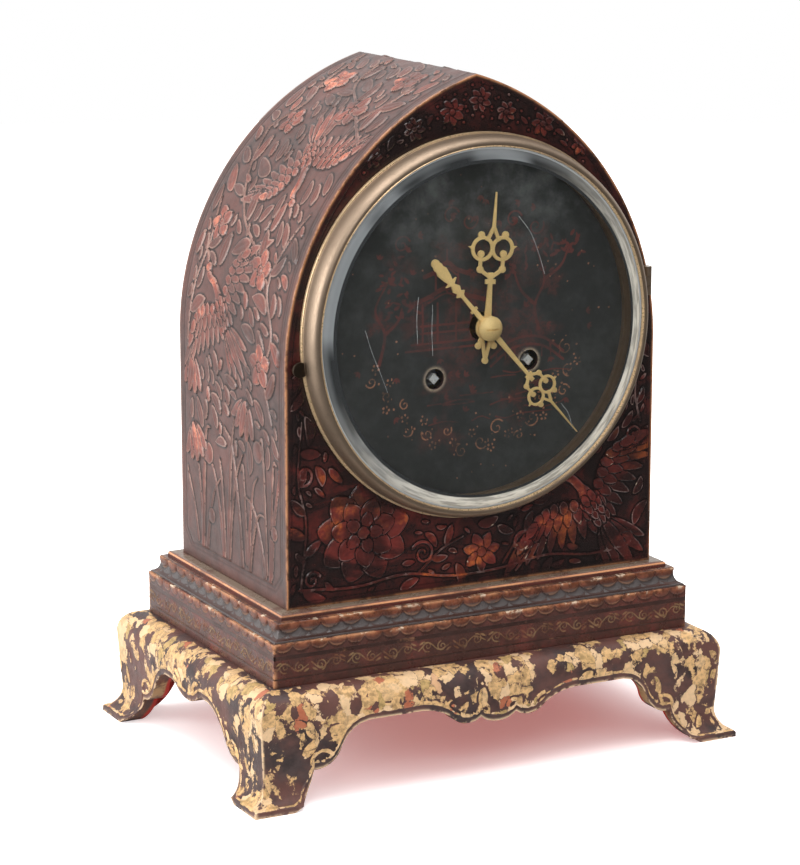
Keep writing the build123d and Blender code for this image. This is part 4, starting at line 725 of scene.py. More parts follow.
class Carving:
    """Height, paint and distance to the nearest motif's edge, on points with two coordinates."""

    def __init__(self, s, t, ground):
        self.s = s
        self.t = t
        self.ridge = 0.0
        self.height = np.full(s.shape, ground)
        self.paint = {key: np.zeros(s.shape) for key in ("warm", "outline", "hollow_shade", "worn", "grey")}
        self.paint["edge"] = np.full(s.shape, BARE)
        self.spots = np.empty((0, 3))

    def near(self, s, t, reach):
        """Indices of the points within a square round a place."""
        return np.nonzero((np.abs(self.s - s) < reach) & (np.abs(self.t - t) < reach))[0]

    def lay(self, where, gap, rise, warm, over=False):
        """Raise the points inside a motif, where the gap to its edge is negative."""
        edge = self.paint["edge"]
        inside = (gap < 0) & ((rise > self.height[where]) | over)
        beside = (gap >= 0) & ((edge[where] > gap) | (over & (gap < 0.8)))
        cut = where[beside & (edge[where] < 0)]
        self.height[cut] -= 0.2
        edge[where[beside]] = gap[beside]
        index = where[inside]
        edge[index] = gap[inside]
        self.height[index] = rise[inside]
        self.paint["warm"][index] = warm

    def keep_clear(self, s, t, radius):
        """Remember a place that is taken."""
        self.spots = np.vstack([self.spots, (s, t, radius)])

    def free(self, s, t, radius):
        """True where a round spot touches nothing that is taken."""
        if not len(self.spots):
            return True
        gaps = np.hypot(self.spots[:, 0] - s, self.spots[:, 1] - t) - self.spots[:, 2]
        return bool((gaps > radius).all())

    def axis(self, s, t, length, width, angle):
        """Three round spots along a leaf."""
        ways = [k * length for k in (-0.3, 0.0, 0.3)]
        return [(s + k * math.cos(angle), t + k * math.sin(angle), width * 0.46) for k in ways]

    def leaf(self, s, t, length, width, angle, height, warm, bend=0.0, vein=0.3, over=False):
        """Pointed leaf, petal or feather with a sunk vein, or outlined by a ridge."""
        where = self.near(s, t, length * 0.55 + width * 0.5 + 2)
        ds = self.s[where] - s
        dt = self.t[where] - t
        x = ds * math.cos(angle) + dt * math.sin(angle)
        y = dt * math.cos(angle) - ds * math.sin(angle) - bend * (x**2 / length)
        along = np.clip(1 - (2 * x / length) ** 2, 0, 1)
        half = width / 2 * along**0.7 * (1 - 0.25 * x / length) + 1e-6
        past = np.clip(np.abs(x) - length / 2, 0, None)
        gap = np.where(past > 0, np.hypot(past, y), (np.abs(y) - half) * (0.55 + 0.45 * along))
        d = np.clip(np.abs(y) / half, 0, 1)
        dome = np.clip(1 - d**2.4, 0, 1) ** 0.62
        line = np.exp(-((y / (0.07 * width + 0.15)) ** 2)) * along**0.5
        rise = height * (dome * 0.6 + 0.4) - vein * height * line
        if self.ridge:
            rim = np.exp(-(((gap + 0.45) / 0.55) ** 2))
            rise = height * (0.35 + self.ridge * np.maximum(rim, 0.6 * line))
        self.lay(where, gap, rise, warm, over)
        for spot in self.axis(s, t, length, width, angle):
            self.keep_clear(*spot)

    def ball(self, s, t, radius, height, warm, flat=0.5):
        """Round bud or boss."""
        where = self.near(s, t, radius + 2)
        gap = np.hypot(self.s[where] - s, self.t[where] - t) - radius
        rise = height * np.clip(1 - np.clip(gap / radius + 1, 0, 1) ** 2, 0, 1) ** flat
        self.lay(where, gap, rise, warm, True)
        self.keep_clear(s, t, radius)

    def blossom(self, s, t, radius, petals, angle, height, warm):
        """Open flower: petals laid round a boss."""
        for petal in range(petals):
            turn = angle + petal * math.tau / petals
            far = radius * 0.55
            place = (s + far * math.cos(turn), t + far * math.sin(turn))
            self.leaf(
                *place, radius * 0.95, radius * 5.0 / petals * 0.78, turn, height, warm, 0, 0.22, True
            )
        self.ball(s, t, radius * 0.22, height * 1.15, warm * 0.6)
        self.keep_clear(s, t, radius * 0.9)

    def peony(self, s, t, radius, height, warm):
        """Full flower: rings of petals, the inner ones on top."""
        for ring, petals in ((1.0, 9), (0.7, 7), (0.42, 5)):
            for petal in range(petals):
                turn = ring * 3 + petal * math.tau / petals
                far = radius * ring * 0.62
                place = (s + far * math.cos(turn), t + far * math.sin(turn))
                tone = warm * (1.1 - 0.3 * ring)
                self.leaf(
                    *place, radius * ring * 0.72, radius * ring * 0.58, turn, height, tone, 0, 0.2, True
                )
        self.ball(s, t, radius * 0.12, height * 1.2, warm)
        self.keep_clear(s, t, radius * 0.95)

    def bell(self, s, t, size, angle, height, warm):
        """Hanging flower with a few long petals."""
        for step, turn in enumerate((-0.75, 0.75, -0.38, 0.38, 0.0)):
            way = angle + turn
            place = (s + size * 0.46 * math.cos(way), t + size * 0.46 * math.sin(way))
            self.leaf(
                *place, size, size * 0.34, way, height * (0.75 + 0.07 * step), warm * (0.8 + 0.06 * step),
                0, 0.2, True
            )

    def stem(self, points, width, height, warm, tip=None):
        """Smooth line through points, tapering to its tip."""
        line = smooth_line(points)
        tip = width if tip is None else tip
        low = line.min(0) - width - 2
        high = line.max(0) + width + 2
        where = np.nonzero(
            (self.s > low[0]) & (self.s < high[0]) & (self.t > low[1]) & (self.t < high[1])
        )[0]
        if not len(where):
            return
        best = np.full(len(where), 1e9)
        half = np.full(len(where), width / 2)
        count = len(line) - 1
        for k in range(count):
            a, b = line[k], line[k + 1]
            run = b - a
            span = max(float(run @ run), 1e-9)
            f = np.clip(((self.s[where] - a[0]) * run[0] + (self.t[where] - a[1]) * run[1]) / span, 0, 1)
            gap = np.hypot(self.s[where] - a[0] - f * run[0], self.t[where] - a[1] - f * run[1])
            closer = gap < best
            best[closer] = gap[closer]
            share = (k + f[closer]) / count
            half[closer] = (width + (tip - width) * share) / 2
        rise = height * np.clip(1 - np.clip(best / half, 0, 1) ** 2, 0, 1) ** 0.5
        self.lay(where, best - half, rise, warm)
        for point in line[::2]:
            self.keep_clear(*point, width * 0.4)

    def branch(self, points, width, height, leaf, rng, inside):
        """Stem with leaves set on it by turns, where a rule says there is room."""
        self.stem(points, width, height * 0.7, 0.2, width / 2)
        line = smooth_line(points)
        for k in range(3, len(line) - 2, 4):
            run = line[k + 1] - line[k - 1]
            turn = math.atan2(run[1], run[0]) + (1 if (k // 4) % 2 else -1) * rng.uniform(0.5, 1.0)
            length = leaf * rng.uniform(0.8, 1.2)
            place = line[k] + np.array([math.cos(turn), math.sin(turn)]) * length * 0.56
            if inside(*place):
                broad, rise = length * rng.uniform(0.34, 0.46), height * rng.uniform(0.7, 1.0)
                self.leaf(
                    *place, length, broad, turn, rise, rng.uniform(0.05, 0.45), rng.uniform(-0.4, 0.4)
                )

    def bird(self, s, t, size, angle, height, warm, way):
        """Plain long-necked bird seen from above in flight, its feathers laid over each other."""

        def at(along, across):
            return (
                s + size * (along * math.cos(angle) - way * across * math.sin(angle)),
                t + size * (along * math.sin(angle) + way * across * math.cos(angle)),
            )

        def feather(root, length, width, turn, lift, tone):
            along = root[0] + length * 0.5 * math.cos(turn)
            across = root[1] + length * 0.5 * math.sin(turn)
            turn = angle + way * turn
            self.leaf(
                *at(along, across), size * length, size * width, turn, height * lift, warm * tone, 0, 0.3,
                True
            )

        for k, turn in enumerate((-0.5, 0.5, -0.26, 0.26, 0.0)):
            feather((-0.16, 0.0), 0.42 + 0.03 * k, 0.10, math.pi + turn, 0.7, 0.55 + 0.06 * k)
        for side in (1, -1):
            for count, length, width, lift, tone in (
                (9, 0.40, 0.10, 0.7, 0.6), (8, 0.24, 0.09, 0.85, 0.8), (7, 0.12, 0.08, 1.0, 1.0)
            ):
                for k in range(count):
                    f = k / (count - 1)
                    root = (0.08 + 0.17 * math.sin(2.2 * f), side * (0.05 + 0.42 * f))
                    feather(
                        root, length * (0.8 + 0.45 * f), width, side * (2.95 - 1.05 * f), lift,
                        tone - 0.1 * (k % 3)
                    )
        self.leaf(*at(0.0, 0), size * 0.44, size * 0.15, angle, height * 1.1, warm * 0.8, 0, 0.0, True)
        for row, along in enumerate((-0.10, -0.03, 0.04, 0.11)):
            for across in (-0.035, 0.035) if row % 2 else (-0.05, 0.0, 0.05):
                feather((along, across), 0.11, 0.06, math.pi, 1.15, 0.7 + 0.08 * row)
        neck = [at(0.16, 0.0), at(0.28, 0.02), at(0.37, 0.07), at(0.45, 0.06)]
        self.stem(neck, size * 0.075, height * 1.25, warm * 0.9, size * 0.05)
        self.leaf(
            *at(0.56, 0.05), size * 0.17, size * 0.035, angle - way * 0.1, height * 0.9, warm * 0.4, 0, 0,
            True
        )
        self.ball(*at(0.47, 0.06), size * 0.042, height * 1.25, warm)
        self.keep_clear(s, t, size * 0.34)


def smooth_line(points, steps=6):
    """Points of a smooth curve through given points."""
    p = np.array(points, float)
    p = np.vstack([2 * p[0] - p[1], p, 2 * p[-1] - p[-2]])
    out = []
    for k in range(1, len(p) - 2):
        for step in range(steps):
            f = step / steps
            out.append(
                0.5
                * (
                    2 * p[k]
                    + (p[k + 1] - p[k - 1]) * f
                    + (2 * p[k - 1] - 5 * p[k] + 4 * p[k + 1] - p[k + 2]) * f**2
                    + (3 * p[k] - p[k - 1] - 3 * p[k + 1] + p[k + 2]) * f**3
                )
            )
    out.append(p[-2])
    return np.array(out)


def scroll_points(s, t, radius, turns, angle, way):
    """Points of a scroll that winds in to its eye."""
    count = int(14 * turns)
    out = []
    for k in range(count + 1):
        f = k / count
        r = radius * (1 - 0.86 * f)
        turn = angle + way * f * turns * math.tau
        out.append((s + r * math.cos(turn), t + r * math.sin(turn)))
    return out


def step_up(value, low, high):
    """Smooth step of an array."""
    f = np.clip((value - low) / (high - low), 0, 1)
    return f * f * (3 - 2 * f)


# Meshes laid on the case


def clear_selection():
    """Leave nothing selected or active in edit mode."""
    if bpy.context.object and bpy.context.object.mode != "OBJECT":
        bpy.ops.object.mode_set(mode="OBJECT")
    bpy.ops.object.select_all(action="DESELECT")


def carved_grid(name, columns, rows, lay, closed=False):
    """Grid whose points a function lays on a surface, with the rim turned in unless that way is closed."""
    clear_selection()
    extra = 0 if closed else 2
    bpy.ops.mesh.primitive_grid_add(x_subdivisions=columns + extra, y_subdivisions=rows + 2, size=2)
    piece = bpy.context.object
    piece.name = name
    mesh = piece.data
    mesh.name = name
    flat = np.empty(len(mesh.vertices) * 3)
    mesh.vertices.foreach_get("co", flat)
    flat = flat.reshape(-1, 3)
    i = np.rint((flat[:, 0] + 1) / 2 * (columns + extra)).astype(int)
    j = np.rint((flat[:, 1] + 1) / 2 * (rows + 2)).astype(int)
    rim = (j == 0) | (j == rows + 2)
    if not closed:
        rim |= (i == 0) | (i == columns + 2)
    a = i / columns if closed else (np.clip(i, 1, columns + 1) - 1) / columns
    b = (np.clip(j, 1, rows + 1) - 1) / rows
    base, normal, height, paint = lay(a, b)
    height = np.where(rim, -0.7, height)
    mesh.vertices.foreach_set("co", ((base + normal * height[:, None]) * MM).ravel())
    for key, values in paint.items():
        layer = mesh.attributes.new(key, "FLOAT", "POINT")
        layer.data.foreach_set("value", values.astype(np.float32))
    mesh.update()
    probe = mesh.polygons[len(mesh.polygons) // 2]
    outward = normal[list(probe.vertices)].mean(0)
    bpy.ops.object.mode_set(mode="EDIT")
    bpy.ops.mesh.select_all(action="SELECT")
    if closed:
        bpy.ops.mesh.remove_doubles(threshold=0.00001)
    if float(np.dot(probe.normal, outward)) < 0:
        bpy.ops.mesh.flip_normals()
    bpy.ops.object.mode_set(mode="OBJECT")
    bpy.ops.object.shade_smooth()
    return piece


def dress(piece, material, body):
    """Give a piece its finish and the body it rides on."""
    piece.data.materials.clear()
    piece.data.materials.append(material)
    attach(piece, body)
    return piece


ARCH_ANGLE = math.acos(-ARCH_OFFSET / ARCH_RADIUS)
ARCH_LENGTH = ARCH_RADIUS * (math.pi - ARCH_ANGLE)
SIDE_STRAIGHT = SPRING_Z - CASE_BOTTOM
SIDE_LENGTH = SIDE_STRAIGHT + ARCH_LENGTH


def side_outline(s):
    """Place and outward direction along the left side's outline, from its foot to the apex."""
    turn = np.pi - np.clip(s - SIDE_STRAIGHT, 0, None) / ARCH_RADIUS
    x = ARCH_OFFSET + ARCH_RADIUS * np.cos(turn)
    z = np.where(s < SIDE_STRAIGHT, CASE_BOTTOM + s, SPRING_Z + ARCH_RADIUS * np.sin(turn))
    return x, z, np.cos(turn), np.sin(turn)


def draw_side(s, t, sizes, seed, way):
    """Carve one side: reeds at the foot, birds and blossoming branches above, inside an incised border."""
    rng = np.random.default_rng(seed)
    high = sizes.relief_height
    carving = Carving(s, t, 0.25)
    half = (BACK_Y - FRONT_Y) / 2
    room = half - sizes.border_inset - 2.5

    for root in (-41, -17, 8, 36):
        for lean in (-17, -7, 4, 14):
            rise = rng.uniform(36, 78)
            foot = (rng.uniform(8, 14), way * (root + lean * 0.25 + rng.uniform(-2, 2)))
            bow = way * lean * rng.uniform(0.7, 1.3)
            points = [
                foot, (foot[0] + rise * 0.4, foot[1] + bow * 0.25),
                (foot[0] + rise * 0.8, foot[1] + bow * 0.7)
            ]
            droop = rng.uniform(0.74, 1.04)
            points.append((foot[0] + rise * droop, np.clip(foot[1] + bow * 1.3, -room, room)))
            carving.stem(
                points, rng.uniform(2.8, 5.2), high * rng.uniform(0.5, 0.85), rng.uniform(0.05, 0.5), 0.7
            )
    for place in ((34, -48), (58, 27), (27, 24), (70, -30)):
        carving.ball(place[0], way * place[1], rng.uniform(3, 5.4), high * 0.8, rng.uniform(0.2, 0.6))
    for place, turn in (((92, -18), 2.8), ((70, 44), 3.4), ((104, 44), 2.9)):
        carving.bell(place[0], way * place[1], 20, turn, high, 0.85)

    carving.bird(132, way * 12, 58, 0.75, high, 0.95, way)
    carving.bird(214, way * -16, 54, -2.6, high, 1.0, -way)
    branches = [
        [(86, -46), (108, -38), (128, -45), (150, -33), (172, -40), (188, -49)],
        [(150, -33), (166, -8), (178, 14), (200, 33), (226, 45)],
        [(112, 50), (140, 46), (162, 40), (184, 46)],
        [(228, -48), (240, -28), (252, -8), (264, 12), (286, 22)],
        [(240, -28), (260, -38), (282, -32)],
        [(226, 45), (244, 34), (258, 40), (284, 46)],
    ]

    def inside(a, b):
        return abs(b) < room - 3 and a < SIDE_LENGTH - 6

    for points in branches:
        carving.branch([(a, way * b) for a, b in points], 2.0, high, 16, rng, inside)
    for place in ((156, -22), (172, 34), (246, -16), (264, 30), (232, 28), (274, -26), (112, -34)):
        carving.blossom(
            place[0], way * place[1], rng.uniform(8, 11), 5, rng.uniform(0, 6), high, rng.uniform(0.55, 1.0)
        )
    for k in range(8000):
        place = (rng.uniform(64, SIDE_LENGTH - 5), rng.uniform(-room + 2, room - 2))
        length = rng.uniform(10, 19) if k < 4000 else rng.uniform(6.5, 11)
        width = length * rng.uniform(0.36, 0.5)
        turn = way * (0.35 + 0.5 * math.sin(place[0] / 38 + place[1] / 23)) + rng.normal(0, 0.35)
        if all(carving.free(a, b, r + 0.35) for a, b, r in carving.axis(*place, length, width, turn)):
            tone = rng.uniform(0.5, 0.8) if rng.uniform() < 0.13 else rng.uniform(0.0, 0.26)
            carving.leaf(
                *place, length, width, turn, high * rng.uniform(0.5, 0.9), tone, rng.uniform(-0.4, 0.4)
            )

    inset = half - np.abs(t) - sizes.border_inset
    foot = s - sizes.border_inset - 2
    corner = (inset + foot - 7) * 0.7071
    frame_gap = np.minimum(np.minimum(inset, foot), corner)
    outside = frame_gap < 1.2
    carving.height[outside] = 0.25
    carving.paint["warm"][outside] = 0
    carving.paint["edge"][outside] = BARE
    groove = np.exp(-((frame_gap / 0.6) ** 2)) + 0.7 * np.exp(-(((frame_gap + 2.2) / 0.5) ** 2))
    carving.height -= 0.3 * groove
    # The border's grooves are sunk and also darkened as painted shade.
    carving.paint["hollow_shade"] = np.clip(groove, 0, 1)
    brink = half - np.abs(t)
    carving.paint["worn"] = np.exp(-((brink / 0.9) ** 2))
    carving.height *= 1 - 0.75 * np.exp(-((brink / 0.7) ** 2))
    return carving


def front_outline(a):
    """Place on the front's outline, anticlockwise from the middle of its foot, at shares of its length."""
    whole = 2 * CASE_HALF + 2 * SIDE_LENGTH
    run = a * whole
    first = np.clip(run - CASE_HALF, 0, SIDE_LENGTH)
    second = np.clip(SIDE_LENGTH - (run - CASE_HALF - SIDE_LENGTH), 0, SIDE_LENGTH)
    x1, z1 = side_outline(first)[:2]
    x2, z2 = side_outline(second)[:2]
    upward = run <= CASE_HALF + SIDE_LENGTH
    x = np.where(upward, -x1, x2)
    z = np.where(upward, z1, z2)
    foot_right = run < CASE_HALF
    foot_left = run > CASE_HALF + 2 * SIDE_LENGTH
    x = np.where(foot_right, run, np.where(foot_left, run - whole, x))
    return x, np.where(foot_right | foot_left, CASE_BOTTOM, z)


def draw_front(x, z, sizes):
    """Outlined work of the front: a peony and a bird at the foot, rosettes and leaves round the arch."""
    rng = np.random.default_rng(31)
    high = sizes.front_height
    carving = Carving(x, z, 0.12)
    carving.ridge = 0.65
    carving.peony(-60, 121, 25, high, 0.95)
    carving.bird(66, 121, 62, 2.2, high, 1.0, 1)
    carving.blossom(4, 104, 10, 7, 0.2, high, 0.75)
    waves = [(-94, 97), (-64, 95), (-38, 98), (-12, 94), (14, 94.5), (40, 98), (66, 95.5), (93, 98)]
    carving.stem(waves, 1.2, high * 0.8, 0.7)
    scrolls = (
        ((-28, 107), 6.5, -1, 2.6), ((27, 106), 6.0, 1, 0.6), ((-91, 152), 5, 1, 4.4),
        ((90, 154), 5, -1, 5.0), ((-87, 101), 4.5, 1, 0.4), ((86, 101), 4.5, -1, 2.6),
    )
    for place, radius, way, turn in scrolls:
        carving.stem(scroll_points(*place, radius, 1.4, turn, way), 1.3, high * 0.9, 0.9, 0.8)
    for place in ((-13, 318), (2, 323), (16, 316.5), (-33, 311), (36, 310), (-55, 299.5), (57, 298.5)):
        carving.blossom(*place, rng.uniform(5.2, 6.6), 7, rng.uniform(0, 6), high, rng.uniform(0.75, 1.0))
        for k in range(9):
            turn = k * math.tau / 9
            carving.ball(
                place[0] + 8.2 * math.cos(turn), place[1] + 8.2 * math.sin(turn), 0.7, high * 0.6, 0.9
            )

    def inside(a, b):
        return math.hypot(a, b - DIAL_Z) > BEZEL_RADIUS + 5 and abs(a) < CASE_HALF - 5 and b > CASE_BOTTOM + 6

    branches = (
        [(-93, 96), (-90, 128), (-94, 150), (-92, 178)], [(93, 160), (90, 175), (93, 192)],
        [(-30, 98), (-18, 108), (-6, 113)], [(16, 97), (26, 110), (36, 113)],
        [(-70, 288), (-84, 270), (-90, 250)], [(70, 288), (84, 270), (90, 250)],
    )
    for points in branches:
        carving.branch(points, 1.3, high, 10, rng, inside)
    for k in range(2600):
        outer_x, outer_z = front_outline(np.array([rng.uniform(0, 1)]))
        outer = np.array([outer_x[0], outer_z[0] - DIAL_Z])
        reach = float(np.hypot(*outer))
        if reach - BEZEL_RADIUS < 9:
            continue
        place = outer / reach * rng.uniform(BEZEL_RADIUS + 3.5, reach - 4.5) + (0, DIAL_Z)
        length = rng.uniform(9, 15) if k < 900 else rng.uniform(4, 8)
        width = length * rng.uniform(0.34, 0.46)
        turn = math.atan2(outer[1], outer[0]) + math.pi / 2 + rng.normal(0, 0.6)
        if all(carving.free(a, b, r + 0.5) for a, b, r in carving.axis(*place, length, width, turn)):
            carving.leaf(*place, length, width, turn, high * rng.uniform(0.4, 0.7), rng.uniform(0.0, 0.8),
                         rng.uniform(-0.5, 0.5))
    return carving


class SidePlan:
    """One side of the plinth and stand: which way it faces, and half its length on the case."""

    def __init__(self, outward, along, half):
        self.outward = np.array(outward, float)
        self.along = np.array(along, float)
        self.half = half
        self.origin = np.array((self.outward[0] * CASE_HALF, self.outward[1] * BACK_Y, 0.0))

    def place(self, t, p, z):
        """Points at a run along the side, an offset outwards and a height."""
        points = self.origin + np.outer(t, self.along) + np.outer(p, self.outward)
        points[:, 2] = z
        return points

    def direction(self, dp, dz):
        """Unit directions from an outward and an upward share."""
        vectors = np.outer(dp, self.outward)
        vectors[:, 2] = dz
        return vectors / np.linalg.norm(vectors, axis=1)[:, None]


PLANS = {
    "front": SidePlan((0, -1, 0), (1, 0, 0), CASE_HALF),
    "right": SidePlan((1, 0, 0), (0, 1, 0), BACK_Y),
    "back": SidePlan((0, 1, 0), (-1, 0, 0), CASE_HALF),
    "left": SidePlan((-1, 0, 0), (0, -1, 0), BACK_Y),
}


class Profile:
    """Section of a moulding as offset and height, measured along its face from the top."""

    def __init__(self, points):
        self.points = np.array(points, float)
        runs = np.hypot(*np.diff(self.points, axis=0).T)
        self.run = np.concatenate([[0], np.cumsum(runs)])

    @property
    def length(self):
        """Length along the face."""
        return self.run[-1]

    def at(self, u):
        """Offset, height and outward direction at a run from the top."""
        p = np.interp(u, self.run, self.points[:, 0])
        z = np.interp(u, self.run, self.points[:, 1])
        near = 0.5
        dp = np.interp(u + near, self.run, self.points[:, 0]) - np.interp(
            u - near, self.run, self.points[:, 0]
        )
        dz = np.interp(u + near, self.run, self.points[:, 1]) - np.interp(
            u - near, self.run, self.points[:, 1]
        )
        return p, z, -dz, dp

    def run_at_height(self, z):
        """Run from the top at which the face comes down to a height."""
        return np.interp(-z, -self.points[:, 1], self.run)


def arc(centre, radius, start, end, count):
    """Points of an arc, angles in degrees."""
    turns = np.radians(np.linspace(start, end, count))
    return [(centre[0] + radius * math.cos(k), centre[1] + radius * math.sin(k)) for k in turns]


def lappet_row(carving, u, t, top, width, drop, height, half):
    """Row of rounded tongues hanging from a line, centred on the side."""
    count = max(1, round(2 * half / width))
    pitch = 2 * half / count
    tau = ((t + half) % pitch) / pitch * 2 - 1
    limit = np.sqrt(np.clip(1 - (tau * 0.97) ** 2, 0, 1)) * drop
    d = (u - top) / np.maximum(limit, 0.05)
    inside = (u > top - 0.2) & (d < 1)
    rise = height * np.clip(1 - np.clip(d, 0, 1) ** 5, 0, 1) * (1 - 0.55 * np.abs(tau) ** 6)
    carving.height = np.where(inside, carving.height + rise, carving.height)
    carving.paint["warm"] = np.where(inside, np.clip(1.1 - 1.1 * d, 0, 1), carving.paint["warm"])
    # Ring near the tongue's rounded edge, later coloured as partly rubbed wear, partly a painted highlight.
    ring = np.exp(-(((d - 0.93) / 0.1) ** 2)) * (u > top)
    carving.paint["outline"] = np.maximum(carving.paint["outline"], ring)
    # Painted shadow: a dark band just below each tongue.
    under = (u > top) & (d >= 1) & (d < 1.45)
    carving.paint["hollow_shade"] = np.where(
        under, np.maximum(carving.paint["hollow_shade"], 0.9 * (1.45 - d) / 0.45), carving.paint["hollow_shade"]
    )


def strip_lay(plan, profile, draw, reach):
    """Function that lays a grid on a mitred strip of moulding and draws on it."""

    def lay(a, b):
        u = b * profile.length
        p, z, dp, dz = profile.at(u)
        t = (2 * a - 1) * (plan.half + p)
        nominal = (2 * a - 1) * (plan.half + reach)
        carving = Carving(u, nominal, 0.08)
        draw(carving, u, nominal, z, plan.half + reach)
        return plan.place(t, p, z), plan.direction(dp, dz), carving.height, carving.paint

    return lay


MOULDING = Profile(
    [(5.2, MOULDING_HIGH), (8.3, MOULDING_HIGH), (8.7, MOULDING_HIGH - 0.15)]
    + [(MOULDING_REACH, MOULDING_HIGH - 0.5), (MOULDING_REACH, 82.3)]
    + [(12.6 - 3.8 * math.sin(k), 77.1 + 5.2 * (1 - math.cos(k))) for k in np.linspace(1.5, 0.0, 12)]
    + [(12.6, FRIEZE_HIGH + 0.05)]
)
FRIEZE = Profile(
    [(11.4, FRIEZE_HIGH), (12.9, FRIEZE_HIGH), (13.3, FRIEZE_HIGH - 0.15)]
    + [(FRIEZE_REACH, FRIEZE_HIGH - 0.5), (FRIEZE_REACH, FRIEZE_LOW)]
)
STAND = Profile(
    [(12.9, 55.0), (15.3, 55.0)]
    + arc((15.3, 44.0), 11.0, 84, 0, 12)
    + [(24.5, 14.0)]
    + [
        (24.6, 12.4), (24.95, 10.8), (25.52, 9.1), (26.42, 7.33), (27.5, 5.85), (28.9, 4.45), (30.6, 3.3),
        (32.4, 2.55)
    ]
    + [(GILDED_REACH, 2.3), (GILDED_REACH, 0.0)]
)
FRONT_APRON = [
    (0, 26.3), (2.8, 26.5), (5.5, 27.2), (7.8, 28.4), (9.7, 29.9), (12.4, 28.1), (16.5, 27.4), (20.6, 28.3),
    (24, 30), (27.2, 32.9), (31, 34.9), (36, 36.6), (41.5, 37.4), (70, 37.4), (74.8, 36.3), (78.6, 34.2),
    (81.8, 30.9), (84, 27), (86.3, 22.2), (90, 18.4), (94, 16.9), (98.5, 16.6), (100, 11.5), (103, 7),
    (107, 3), (112, 0),
]
SIDE_APRON = [
    (0, 31), (3.6, 31.2), (7, 31.9), (10.2, 33.2), (13, 35), (15.4, 36.1), (18, 36.6), (26, 36.6),
    (31.4, 35), (36, 32), (40, 28.3), (43, 24), (45.5, 20.4), (48.5, 17.6), (52.8, 15.6), (58, 14.9),
    (59.4, 10.4), (62, 6.5), (65.6, 2.8), (70, 0),
]


def draw_moulding(carving, u, t, z, half):
    """Lappets on the fascia, faint incised ones in the grey cove, a rubbed top edge."""
    sizes = bpy.context.scene.clock_sizes
    carving.paint["grey"] = step_up(u, 6.4, 7.6)
    lappet_row(carving, u, t, 3.9, sizes.lappet_width, 4.7, 0.95, half)
    carving.paint["worn"] = np.maximum(carving.paint["worn"], np.exp(-(((u - 3.5) / 0.8) ** 2)) * 0.9)
    width = sizes.lappet_width
    tau = ((t + half + width / 2) % width) / width * 2 - 1
    line = np.abs(u - 8.2 - 3.4 * np.sqrt(np.clip(1 - tau**2, 0, 1)))
    groove = np.exp(-((line / 0.4) ** 2)) * (u > 8.0)
    # The cove's incised lines are sunk and also darkened as painted shade.
    carving.height -= 0.22 * groove
    carving.paint["hollow_shade"] = np.maximum(carving.paint["hollow_shade"], groove * 0.5)


def draw_frieze(carving, u, t, z, half):
    """Scalloped and chipped top edge, incised lines and a running gilt scroll."""
    sizes = bpy.context.scene.clock_sizes
    lappet_row(carving, u, t, 1.9, sizes.scallop_width, 4.0, 0.5, half)
    carving.paint["worn"] = np.maximum(carving.paint["worn"], np.exp(-(((u - 1.7) / 1.0) ** 2)))
    corner = np.exp(-(((half - np.abs(t)) / 1.2) ** 2))
    carving.paint["worn"] = np.maximum(carving.paint["worn"], corner * 0.9)
    for level in (70.0, 68.9, 59.2):
        # Each incised line is sunk and also darkened as painted shade.
        groove = np.exp(-(((z - level) / 0.32) ** 2)) * (u > 3)
        carving.height -= 0.28 * groove
        carving.paint["hollow_shade"] = np.maximum(carving.paint["hollow_shade"], groove)
    middle = u.max() - (64.4 - FRIEZE_LOW)
    pitch = 19.0
    count = max(2, round(2 * half / pitch))
    pitch = 2 * half / count
    for k in range(count):
        centre = -half + (k + 0.5) * pitch
        way = 1 if k % 2 else -1
        wave = [
            (middle - way * 1.4, centre - pitch * 0.48),
            (middle + way * 2.2, centre - pitch * 0.2),
            (middle - way * 2.0, centre + pitch * 0.12),
            (middle + way * 0.6, centre + pitch * 0.46),
        ]
        carving.stem(wave, 0.7, 0.4, 0.35, 0.5)
        carving.stem(
            scroll_points(middle + way * 0.4, centre - pitch * 0.22, 2.9, 1.4, 0.3, way), 0.62, 0.4, 0.35,
            0.5
        )
        carving.stem(
            scroll_points(middle - way * 0.4, centre + pitch * 0.2, 2.7, 1.4, 3.4, -way), 0.62, 0.4, 0.35,
            0.5
        )
        for side in (-1, 1):
            carving.leaf(
                middle - side * way * 2.2, centre + pitch * 0.38 * side, 3.4, 1.0, 1.1 * way, 0.35, 0.4
            )


def draw_stand(carving, u, t, edge_gap, full, seed, scrolls):
    """Raised scrolls and a raised line along the lower edge, with the places where the gold leaf is thick."""
    rng = np.random.default_rng(seed)
    gold = 0.17 * np.exp(-(((u - 11) / 9) ** 2)) - 0.03 - 0.35 * np.exp(-((u / 2.0) ** 2))
    for centre, size, turns, turn, way in scrolls:
        carving.stem(scroll_points(*centre, size, turns, turn, way), 2.2, 0.9, 0.8, 1.3)
    for _ in range(40):
        place = (rng.uniform(18, 58), rng.uniform(-full, full))
        size = rng.uniform(6, 12)
        carving.leaf(
            *place, size, size * 0.45, rng.uniform(0, math.tau), rng.uniform(0.3, 0.5), 0.4,
            rng.uniform(-0.6, 0.6)
        )
    ridge = np.exp(-(((edge_gap - 3.9) / 0.75) ** 2))
    rim = step_up(edge_gap, 2.4, 3.2)
    edge = carving.paint["edge"]
    raised = step_up(-edge, -0.3, 0.2)
    gold = gold + 0.22 * raised - 0.25 * np.exp(-(((edge - 0.7) / 0.6) ** 2))
    carving.height = 0.08 + (carving.height - 0.08) * rim + 0.45 * ridge
    carving.paint["gold"] = gold * rim - 0.5 * (1 - rim) + 0.35 * ridge
    brink = np.exp(-((edge_gap / 0.8) ** 2)) + np.exp(-(((full - np.abs(t)) / 1.0) ** 2))
    carving.paint["worn"] = np.clip(brink, 0, 1)


